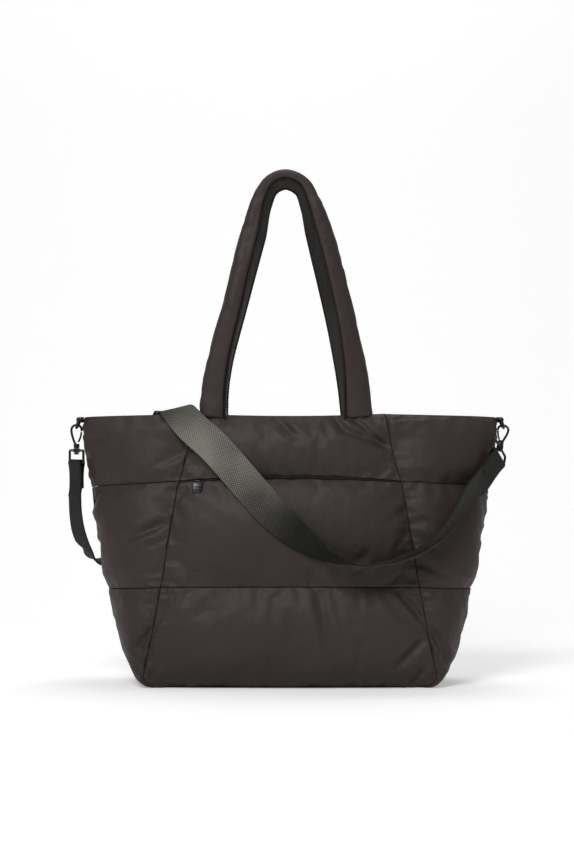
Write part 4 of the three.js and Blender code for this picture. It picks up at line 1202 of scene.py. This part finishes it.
for clip in CLIPS:
    hand = clip["hand"]
    lean = math.radians(D_RING_LEAN)
    clip["bar"] = np.array([
        hand * (TOP_HALF_WIDTH + bar_out + TAB_STAND_OFF), 0,
        RIM_LINE["side"] * BODY_HEIGHT - TAB_BELOW_RIM,
    ])
    clip["drop"] = np.array([hand * math.sin(lean), 0, -math.cos(lean)])
    ring_line = [
        clip["bar"] + LEVEL * D_RING_WIDTH / 2 * math.cos(a)
        + clip["drop"] * D_RING_DROP * math.sin(a) ** D_RING_SQUARE
        for a in np.linspace(0, math.pi, 41)
    ]
    straight = np.linspace(-0.92, 0.92, 12)
    ring_line += [clip["bar"] + LEVEL * share * D_RING_WIDTH / 2 for share in straight]
    ring_shape = wire_shape(ring_line, ring_radius, np.cross(LEVEL, clip["drop"]), closed=True)
    metal_piece(f"{clip['side']}_ring", [ring_shape], f"{clip['side']}_d_ring", "root")
    tab_frame = Matrix((
        (0, 0, hand, clip["bar"][0]),
        (0, -hand, 0, clip["bar"][1]),
        (1, 0, 0, clip["bar"][2]),
        (0, 0, 0, 1),
    ))
    tail = clip["bar"][0] * hand - TOP_HALF_WIDTH - WALL / 2 - FIT_GAP
    tab_places = fold_places(ring_radius, TAB_THICKNESS, tail, 2 * (ring_radius + FIT_GAP))
    tab_stations = finer(stations_along(tab_places, tab_frame), 2)
    tab = tape_piece(f"{clip['side']}_webbing_tab", tab_stations, TAB_WIDTH, TAB_THICKNESS)
    core = []
    for depth in np.linspace(ring_radius + FIT_GAP, tail, 5):
        point = clip["bar"] - np.array([hand * depth, 0, 0])
        core.append({"point": point, "wide": LEVEL, "thick": np.array([0, 0, 1.0])})
    core_thickness = 2 * (ring_radius + FIT_GAP)
    tab_core = tape_piece(f"{clip['side']}_tab_core", core, TAB_WIDTH * 0.98, core_thickness)
    for piece in (tab, tab_core):
        dress(piece, f"{clip['side']}_tab")

# Snap hooks: a pear-shaped cast hook with a sprung wire gate, whose swivel turns in the boss of
# the rectangular loop that holds the strap.
HOOK_WIRE = 0.0028
HOOK_BOW = 0.012
HOOK_LENGTH = 0.022
HOOK_NOSE = 0.0015
HOOK_BARREL = 0.007
HOOK_BARREL_HEIGHT = 0.005
HOOK_POST = 0.003
HOOK_HEAD = 0.0056
HOOK_HEAD_HEIGHT = 0.002
HANG_GAP = 0.0009
GATE_WIRE = 0.00224
LOOP_WIRE = 0.003
LOOP_BOSS = 0.008
LOOP_BOSS_HEIGHT = 0.005
LOOP_HEIGHT = 0.014
LOOP_CORNER = 0.002
LOOP_SIDE_GAP = 0.001
STRAP_WIDTH = 0.038
STRAP_TAIL = 0.030
STRAP_FOLD_GAP = 1.5 * FIT_GAP
STRAP_STITCH_INSETS = (0.004, 0.010)
STITCH_RISE = 0.0001
MM = 0.001


def eased_disc(radius, top, bottom, edge=0.0004):
    return [
        (radius - edge, bottom), (radius - 0.3 * edge, bottom + 0.3 * edge), (radius, bottom + edge),
        (radius, top - edge), (radius - 0.3 * edge, top - 0.3 * edge), (radius - edge, top),
    ]


for clip in CLIPS:
    hand = clip["hand"]
    side = clip["side"]
    hanging = (
        Matrix.Translation(clip["bar"] + clip["drop"] * D_RING_DROP)
        @ Matrix.Rotation(-math.radians(clip["forward"]), 4, "X")
        @ Matrix.Rotation(hand * math.radians(clip["lean"]), 4, "Y")
    )
    wire = HOOK_WIRE / 2
    bow = HOOK_BOW / 2
    bow_middle = -(bow - wire - ring_radius - HANG_GAP)
    barrel_top = bow_middle + bow - HOOK_LENGTH
    barrel_bottom = barrel_top - HOOK_BARREL_HEIGHT
    neck = HOOK_BARREL / 2 - wire
    hook_line = [
        (hand * neck * 0.5, 0, barrel_top - 1 * MM),
        (hand * (neck + 0.6 * MM), 0, barrel_top + 2.5 * MM),
        (hand * bow * 0.86, 0, bow_middle - bow),
    ]
    hook_line += [
        (hand * bow * math.cos(a), 0, bow_middle + bow * math.sin(a)) for a in np.linspace(0, math.pi, 9)
    ]
    hook_line.append((-hand * bow * 0.98, 0, bow_middle - HOOK_NOSE))
    boss_top = barrel_bottom - FIT_GAP
    boss_bottom = boss_top - LOOP_BOSS_HEIGHT
    head_top = boss_bottom - FIT_GAP
    barrel = eased_disc(HOOK_BARREL / 2, barrel_top, barrel_bottom)
    hook_shapes = [
        wire_shape(along_smooth(hook_line, 60), wire, LEVEL),
        turned_shape(barrel),
        turned_shape([(HOOK_POST / 2, head_top - 0.5 * MM), (HOOK_POST / 2, barrel_bottom + 0.5 * MM)]),
        turned_shape(eased_disc(HOOK_HEAD / 2, head_top, head_top - HOOK_HEAD_HEIGHT)),
    ]
    metal_piece(f"{side}_snap_hook", hook_shapes, f"{side}_hook", f"{side}_snap_hook", hanging)

    gate_radius = GATE_WIRE / 2
    gate_top = bow_middle - HOOK_NOSE - 2 * FIT_GAP
    gate_bottom = barrel_top + 2 * FIT_GAP + gate_radius
    gate_line = [
        (-hand * bow * 0.97, 0, gate_top),
        (-hand * (neck + (bow - neck) * 0.65), 0, (gate_top + gate_bottom) / 2),
        (-hand * neck, 0, gate_bottom),
    ]
    gate_shape = wire_shape(along_smooth(gate_line, 16), gate_radius, LEVEL)
    metal_piece(f"{side}_spring_gate", [gate_shape], f"{side}_hook_gate", f"{side}_gate", hanging)

    loop_frame = (
        hanging
        @ Matrix.Translation((0, 0, (boss_top + boss_bottom) / 2))
        @ Matrix.Rotation(math.radians(clip["turn"]), 4, "Z")
    )
    half_loop = STRAP_WIDTH / 2 + LOOP_SIDE_GAP + LOOP_WIRE / 2
    loop_line = []
    for y_side, z_side, first in ((1, 0, 90), (1, -1, 0), (-1, -1, -90), (-1, 0, -180)):
        centre_y = y_side * (half_loop - LOOP_CORNER)
        centre_z = -LOOP_CORNER if z_side == 0 else LOOP_CORNER - LOOP_HEIGHT
        for a in np.radians(first - 15 * np.arange(7)):
            across = centre_y + LOOP_CORNER * math.cos(a)
            loop_line.append((0, across, centre_z + LOOP_CORNER * math.sin(a)))
    bore = HOOK_POST / 2 + FIT_GAP
    half_boss = LOOP_BOSS_HEIGHT / 2
    boss = [(bore, half_boss), (bore, -half_boss)] + eased_disc(LOOP_BOSS / 2, half_boss, -half_boss)
    loop_shapes = [
        wire_shape(loop_line, LOOP_WIRE / 2, np.array([1.0, 0, 0]), closed=True),
        turned_shape(boss, ring=True),
    ]
    metal_piece(f"{side}_loop", loop_shapes, f"{side}_strap_loop", "root", loop_frame)

    fold_frame = (
        loop_frame
        @ Matrix.Translation((0, 0, -LOOP_HEIGHT))
        @ Matrix.Rotation(hand * math.radians(clip["leave"]), 4, "Y")
    )
    places = fold_places(LOOP_WIRE / 2, WEBBING_THICKNESS, STRAP_TAIL, STRAP_FOLD_GAP)
    if hand > 0:
        places[:, 0] *= -1
    clip["strap_end"] = stations_along(places, fold_frame)

# Shoulder strap: one flat run of 38 mm webbing. From the right loop it is draped over the front,
# through the mouth, down the back and round the left side to the left loop, where it ends as it
# began: folded round the loop's bar and stitched twice across.
STRAP_STEPS = 110
STRAP_CLEARANCE = 0.0015
STRAP_EASE = 0.0011
SIDE_EASE_TURNS = 12
SIDE_EASE_LEAD = 7

# Where the front run is glossier and painted lighter, a painted highlight, in metres across: start, full
# from, full to, and end.
STRAP_PAINTED_SHEEN_AT = (0.012, -0.062, -0.105, -0.135)
FAR = 3 * TOP_HALF_WIDTH

# Points off the skin that is met from the named side. x, y and z are shares of TOP_HALF_WIDTH,
# HALF_DEPTH and BODY_HEIGHT, off is a share of STRAP_WIDTH, and wide is the way of its width.
ROUTE = [
    {"from": "front", "x": 0.87, "z": 0.725, "off": 0.44, "wide": (0.3, 0.88, -0.32)},
    {"from": "front", "x": 0.8, "z": 0.648, "off": 0.48, "wide": (0.27, 0.92, -0.27)},
    {"from": "front", "x": 0.72, "z": 0.575, "off": 0.5, "wide": (0.22, 0.95, -0.22)},
    {"from": "front", "x": 0.61, "z": 0.512, "off": 0.52, "wide": (0.15, 0.97, -0.18)},
    {"from": "front", "x": 0.47, "z": 0.472, "off": 0.53, "wide": (0.06, 0.99, -0.1)},
    {"from": "front", "x": 0.33, "z": 0.46, "off": 0.53, "wide": (-0.03, 0.99, -0.05)},
    {"from": "front", "x": 0.2, "z": 0.487, "off": 0.47, "wide": (-0.2, 0.9, -0.3)},
    {"from": "front", "x": 0.06, "z": 0.552, "off": 0.3, "wide": (-0.5, 0.6, -0.6)},
    {"from": "front", "x": -0.08, "z": 0.645, "off": 0.18, "wide": (-0.7, 0.25, -0.65)},
    {"from": "front", "x": -0.17, "z": 0.72, "off": 0.15, "wide": (-0.76, 0.1, -0.64)},
    {"from": "front", "x": -0.36, "z": 0.885, "off": 0.14, "wide": (-0.78, 0, -0.62)},
    {"from": "front", "x": -0.462, "z": 0.955, "off": 0.19, "wide": (-0.86, 0, -0.48)},
    {"from": "top", "x": -0.545, "y": -0.52, "off": 0.115, "wide": (-0.95, -0.1, -0.28)},
    {"from": "mouth", "x": -0.57, "y": 0.0, "z": 1.007, "wide": (-0.99, -0.1, 0)},
    {"from": "top", "x": -0.6, "y": 0.6, "off": 0.1, "wide": (-0.99, -0.1, 0.05)},
    {"from": "back", "x": -0.64, "z": 0.92, "off": 0.19, "wide": (-0.99, -0.1, 0.15)},
    {"from": "back", "x": -0.68, "z": 0.8, "off": 0.18, "wide": (-0.98, 0, 0.2)},
    {"from": "back", "x": -0.74, "z": 0.65, "off": 0.22, "wide": (-0.97, 0.1, 0.2)},
    {"from": "back", "x": -0.795, "z": 0.52, "off": 0.36, "wide": (-0.96, 0.2, 0.15)},
    {"from": "back", "x": -0.835, "z": 0.45, "off": 0.46, "wide": (-0.8, 0.6, 0)},
    {"from": "left", "y": 0.46, "z": 0.44, "off": 0.42, "wide": (-0.28, 0.95, 0.1)},
    {"from": "left", "y": 0.24, "z": 0.495, "off": 0.4, "wide": (-0.42, 0.9, 0.02)},
    {"from": "left", "y": 0.1, "z": 0.56, "off": 0.58, "wide": (-0.47, 0.88, 0)},
    {"from": "left", "y": 0.03, "z": 0.63, "off": 0.63, "wide": (-0.46, 0.89, 0)},
    {"from": "left", "y": -0.02, "z": 0.69, "off": 0.56, "wide": (-0.46, 0.89, 0)},
]
WAYS = {
    "front": (0, 1, 0), "back": (0, -1, 0), "left": (1, 0, 0), "top": (0, 0, -1), "mouth": (0, 0, -1),
}


def surface_tree(objects):
    corners = []
    faces = []
    first = 0
    for thing in objects:
        corners.extend(v.co.copy() for v in thing.data.vertices)
        faces.extend([first + i for i in p.vertices] for p in thing.data.polygons)
        first += len(thing.data.vertices)
    return BVHTree.FromPolygons(corners, faces)


def hit_point(tree, start, way):
    hit = tree.ray_cast(Vector(start), Vector(way))[0]
    return None if hit is None else np.array(hit)


def route_point(tree, row):
    x = row.get("x", 0) * TOP_HALF_WIDTH
    y = row.get("y", 0) * HALF_DEPTH
    z = row.get("z", 0) * BODY_HEIGHT
    if row["from"] == "mouth":
        return np.array([x, y, z])
    way = np.array(WAYS[row["from"]], float)
    start = np.where(way == 0, (x, y, z), -way * FAR)
    return hit_point(tree, start, way) - way * row["off"] * STRAP_WIDTH


def pushed_out(tree, stations):
    """Where the strap would cut into the padding it is pushed out, easing over its neighbours."""
    needs = []
    for station in stations:
        way = np.array(WAYS[station["from"]], float)
        need = 0.0
        for share in (-0.5, -0.25, 0, 0.25, 0.5):
            at = station["point"] + station["wide"] * share * STRAP_WIDTH
            hit = hit_point(tree, at - way * FAR, way)
            if hit is None or np.linalg.norm(hit - at) > STRAP_WIDTH * 1.2:
                continue
            need = max(need, np.dot(at - hit, way) + WEBBING_THICKNESS / 2 + STRAP_CLEARANCE)
        needs.append(need)
    needs = np.array(needs)
    for i, station in enumerate(stations):
        way = np.array(WAYS[station["from"]], float)
        reach = max(0.0, (needs - STRAP_EASE * np.abs(np.arange(len(needs)) - i)).max())
        station["point"] = station["point"] - way * reach


cad_walls = surface_tree([NODES[pad.name] for pad in pads] + [NODES["zip_tape"]])
right_end = CLIPS[1]["strap_end"]
left_end = CLIPS[0]["strap_end"][::-1]
run_points = [right_end[-2]["point"], right_end[-1]["point"]]
run_points += [route_point(cad_walls, row) for row in ROUTE]
run_points += [left_end[0]["point"], left_end[1]["point"]]
run_wides = [right_end[-2]["wide"], right_end[-1]["wide"]]
run_wides += [unit(np.array(row["wide"], float)) for row in ROUTE]
run_wides += [left_end[0]["wide"], left_end[1]["wide"]]
strap_run = SmoothRun(run_points)
strap_wides = SmoothRun(run_wides)
end_share = np.linalg.norm(run_points[1] - run_points[0]) / strap_run.lengths[-1]
run_stations = []
for i in range(1, STRAP_STEPS):
    t = strap_run.at_share(end_share + (1 - 2 * end_share) * i / STRAP_STEPS)
    ahead = strap_run.ahead(t)
    wide = strap_wides.point(t)
    wide = unit(wide - ahead * np.dot(wide, ahead))
    row = min(max(round(t * (len(run_points) - 1)) - 2, 0), len(ROUTE) - 1)
    run_stations.append({"point": strap_run.point(t), "wide": wide, "from": ROUTE[row]["from"]})
pushed_out(cad_walls, run_stations)
pushed_out(surface_tree([pad.piece for pad in pads]), run_stations)

# The run round the left side is eased to one smooth curve.
side_start = [s["from"] for s in run_stations].index("left") - SIDE_EASE_LEAD
for turn in range(SIDE_EASE_TURNS):
    for i in range(side_start, len(run_stations) - 1):
        beside = run_stations[i - 1]["point"] + run_stations[i + 1]["point"]
        run_stations[i]["point"] = run_stations[i]["point"] / 2 + beside / 4
strap_stations = finer(right_end + run_stations + left_end, 4)
strap_points = np.array([s["point"] for s in strap_stations])
strap_steps = [np.linalg.norm(step) for step in np.diff(strap_points, axis=0)]
strap_lengths = np.concatenate([[0], np.cumsum(strap_steps)])
on_front = strap_points[:, 1] < 0
# Lengths along the strap where its glossier stretch with the painted highlight starts, peaks and ends.
painted_sheen_span = [strap_lengths[np.argmax(on_front & (strap_points[:, 0] < x))] for x in STRAP_PAINTED_SHEEN_AT]
# Where the strap rounds the left side its colour is painted darker: a painted shade.
side_length = strap_lengths[np.argmax(strap_points[:, 0] < -TOP_HALF_WIDTH)]
painted_shade_span = (side_length - STRAP_WIDTH, side_length)
shoulder_webbing = webbing_material("shoulder_webbing", painted_sheen_span=painted_sheen_span, painted_shade_span=painted_shade_span)
strap = tape_piece("shoulder_strap", strap_stations, STRAP_WIDTH, WEBBING_THICKNESS, shoulder_webbing)
dress(strap, "crossbody_strap")

for clip in CLIPS:
    fold = finer(clip["strap_end"], 4)
    tail = fold[-1] if clip["hand"] < 0 else fold[0]
    outer = fold[0] if clip["hand"] < 0 else fold[-1]
    back = unit(outer["point"] - fold[len(fold) // 2]["point"])
    rows = []
    for start, way in ((outer, 1), (tail, -1)):
        for inset in STRAP_STITCH_INSETS:
            across = np.linspace(-0.44, 0.44, 24)[:, None] * STRAP_WIDTH * start["wide"]
            thick = start["thick"] * (WEBBING_THICKNESS / 2 + STITCH_RISE)
            outward = thick if np.dot(thick, outer["point"] - tail["point"]) * way > 0 else -thick
            rows.append(start["point"] - back * inset + outward + across)
    stitches(f"{clip['side']}_strap_stitches", rows, Pitch=0.0030, Stitch_length=0.0024)

# Front pocket's zip: a black tape with coiled teeth in the slot under the top band, a small metal
# slider, and a ribbed pull that hangs from it over the padding.
ZIP_TAPE_THICKNESS = 0.0012
ZIP_SLIDER = {"width": 0.008, "height": 0.005, "thickness": 0.003, "edge": 0.0007}
ZIP_PULL = {"width": 0.012, "height": 0.014, "thickness": 0.0022, "edge": 0.0009}
ZIP_PULL_X = -0.44
PULL_RIBS = (0.42, 0.62, 0.82)
PULL_RIB_RADIUS = 0.0007
ZIP_TAPE_BLACK = (0.012, 0.011, 0.011, 1)
ZIP_TAPE_SHADE = (0.006, 0.006, 0.006, 1)


def zip_cloth_material():
    material, tree = new_material("black_zip_cloth", Roughness=0.8)
    weave, cloth_uv = add_weave(tree, across=1500.0, along=1500.0)
    feed_shader(
        tree,
        Base_Color=shade_ramp(tree, weave, ZIP_TAPE_SHADE, ZIP_TAPE_BLACK),
        Normal=add_bump(tree, weave, 0.6, 0.0002),
    )
    return material


ZIP_CLOTH = zip_cloth_material()
slot_shares = eased_shares(60)
slot = wall_place("middle", -1, 0, slot_shares, np.ones_like(slot_shares))
slot_points = slot["point"]
slot_points[0] += slot["along"][0] * (SEAM_GAP / 2 + FIT_GAP)
slot_points[-1] -= slot["along"][-1] * (SEAM_GAP / 2 + FIT_GAP)
tape_top = -SEAM_GAP / 2 - FIT_GAP
tape_bottom = -POCKET_SLOT + FIT_GAP
tape_rings = []
for point, out, climb in zip(slot_points, slot["out"], slot["climb"]):
    rises = np.linspace(tape_bottom, tape_top, 5)
    outer = [point + climb * rise + out * ZIP_TAPE_THICKNESS / 2 for rise in rises]
    inner = [point + climb * rise - out * ZIP_TAPE_THICKNESS / 2 for rise in rises[::-1]]
    tape_rings.append(np.array(outer + inner))
tape = tube_piece("zip_tape_cloth", tape_rings, ZIP_CLOTH)
dress(tape, "zip_tape")
teeth_line = slot_points + slot["climb"] * (tape_top + tape_bottom) / 2
teeth_line = teeth_line + slot["out"] * ZIP_TAPE_THICKNESS / 2
stitches(
    "zip_teeth", [teeth_line[1:-1]], "zip_cloth", Pitch=0.0013, Stitch_length=0.0009, Thread_width=0.0022,
)


def eased_block(width, height, thickness, edge):
    """A small cast block with rounded corners and eased edges, its middle at the origin."""
    outline = []
    for x_side, z_side, first in ((1, 1, 0), (-1, 1, 90), (-1, -1, 180), (1, -1, 270)):
        for step in range(5):
            a = math.radians(first + step * 22.5)
            outline.append((
                x_side * (width / 2 - 1.6 * edge) + 1.6 * edge * math.cos(a),
                z_side * (height / 2 - 1.6 * edge) + 1.6 * edge * math.sin(a),
            ))
    outline = np.array(outline)
    rings = []
    for depth, inset in ((-0.5, 1), (-0.5 + 0.3 * edge / thickness, 0.4), (-0.5 + edge / thickness, 0),
                         (0.5 - edge / thickness, 0), (0.5 - 0.3 * edge / thickness, 0.4), (0.5, 1)):
        scale = 1 - inset * edge * 2 / np.array([width, height])
        flat = outline * scale
        rings.append(np.stack([flat[:, 0], np.full(len(flat), depth * thickness), flat[:, 1]], 1))
    corners = np.concatenate(rings)
    faces = ring_faces(len(rings), len(outline))
    return corners, facing_out(corners, faces)


slider_low, slider_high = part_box("zip_slider")
slider_middle = (slider_low + slider_high) / 2
pocket_end = read_section(UPPER_SEAM["corner"] * BODY_HEIGHT)["seam"]
slider_share = 0.5 + ZIP_PULL_X * TOP_HALF_WIDTH / 2 / pocket_end
tape_run = wall_place("middle", -1, 0, [slider_share - 0.02, slider_share + 0.02], [1.0, 1.0])["point"]
slider_turn = math.atan2(tape_run[1, 1] - tape_run[0, 1], tape_run[1, 0] - tape_run[0, 0])
slider_frame = Matrix.Translation(slider_middle) @ Matrix.Rotation(slider_turn, 4, "Z")
metal_piece("zip_slider_body", [eased_block(**ZIP_SLIDER)], "zip_slider", "root", slider_frame)

pull_hinge = next(j for j in frame["joints"] if j["name"] == "zip_pull_hinge")
pull_low, pull_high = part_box("zip_pull")
pull_reach = math.hypot(ZIP_PULL["height"], ZIP_PULL["thickness"])
pull_tilt = math.asin((pull_high[1] - pull_low[1]) / pull_reach)
pull_tilt -= math.atan2(ZIP_PULL["thickness"], ZIP_PULL["height"])
pull_frame = Matrix.Translation(pull_hinge["pos_m"]) @ Matrix.Rotation(-pull_tilt, 4, "X")
plate_corners, plate_faces = eased_block(**ZIP_PULL)
pull_shapes = [(plate_corners - (0, 0, ZIP_PULL["height"] / 2), plate_faces)]
for share in PULL_RIBS:
    rib = np.linspace(-0.36, 0.36, 9)[:, None] * ZIP_PULL["width"] * np.array([[1, 0, 0]])
    rib = rib + np.array([0, -ZIP_PULL["thickness"] / 2, -share * ZIP_PULL["height"]])
    pull_shapes.append(wire_shape(rib, PULL_RIB_RADIUS, LEVEL))
metal_piece("zip_pull_plate", pull_shapes, "zip_pull", "pull", pull_frame)
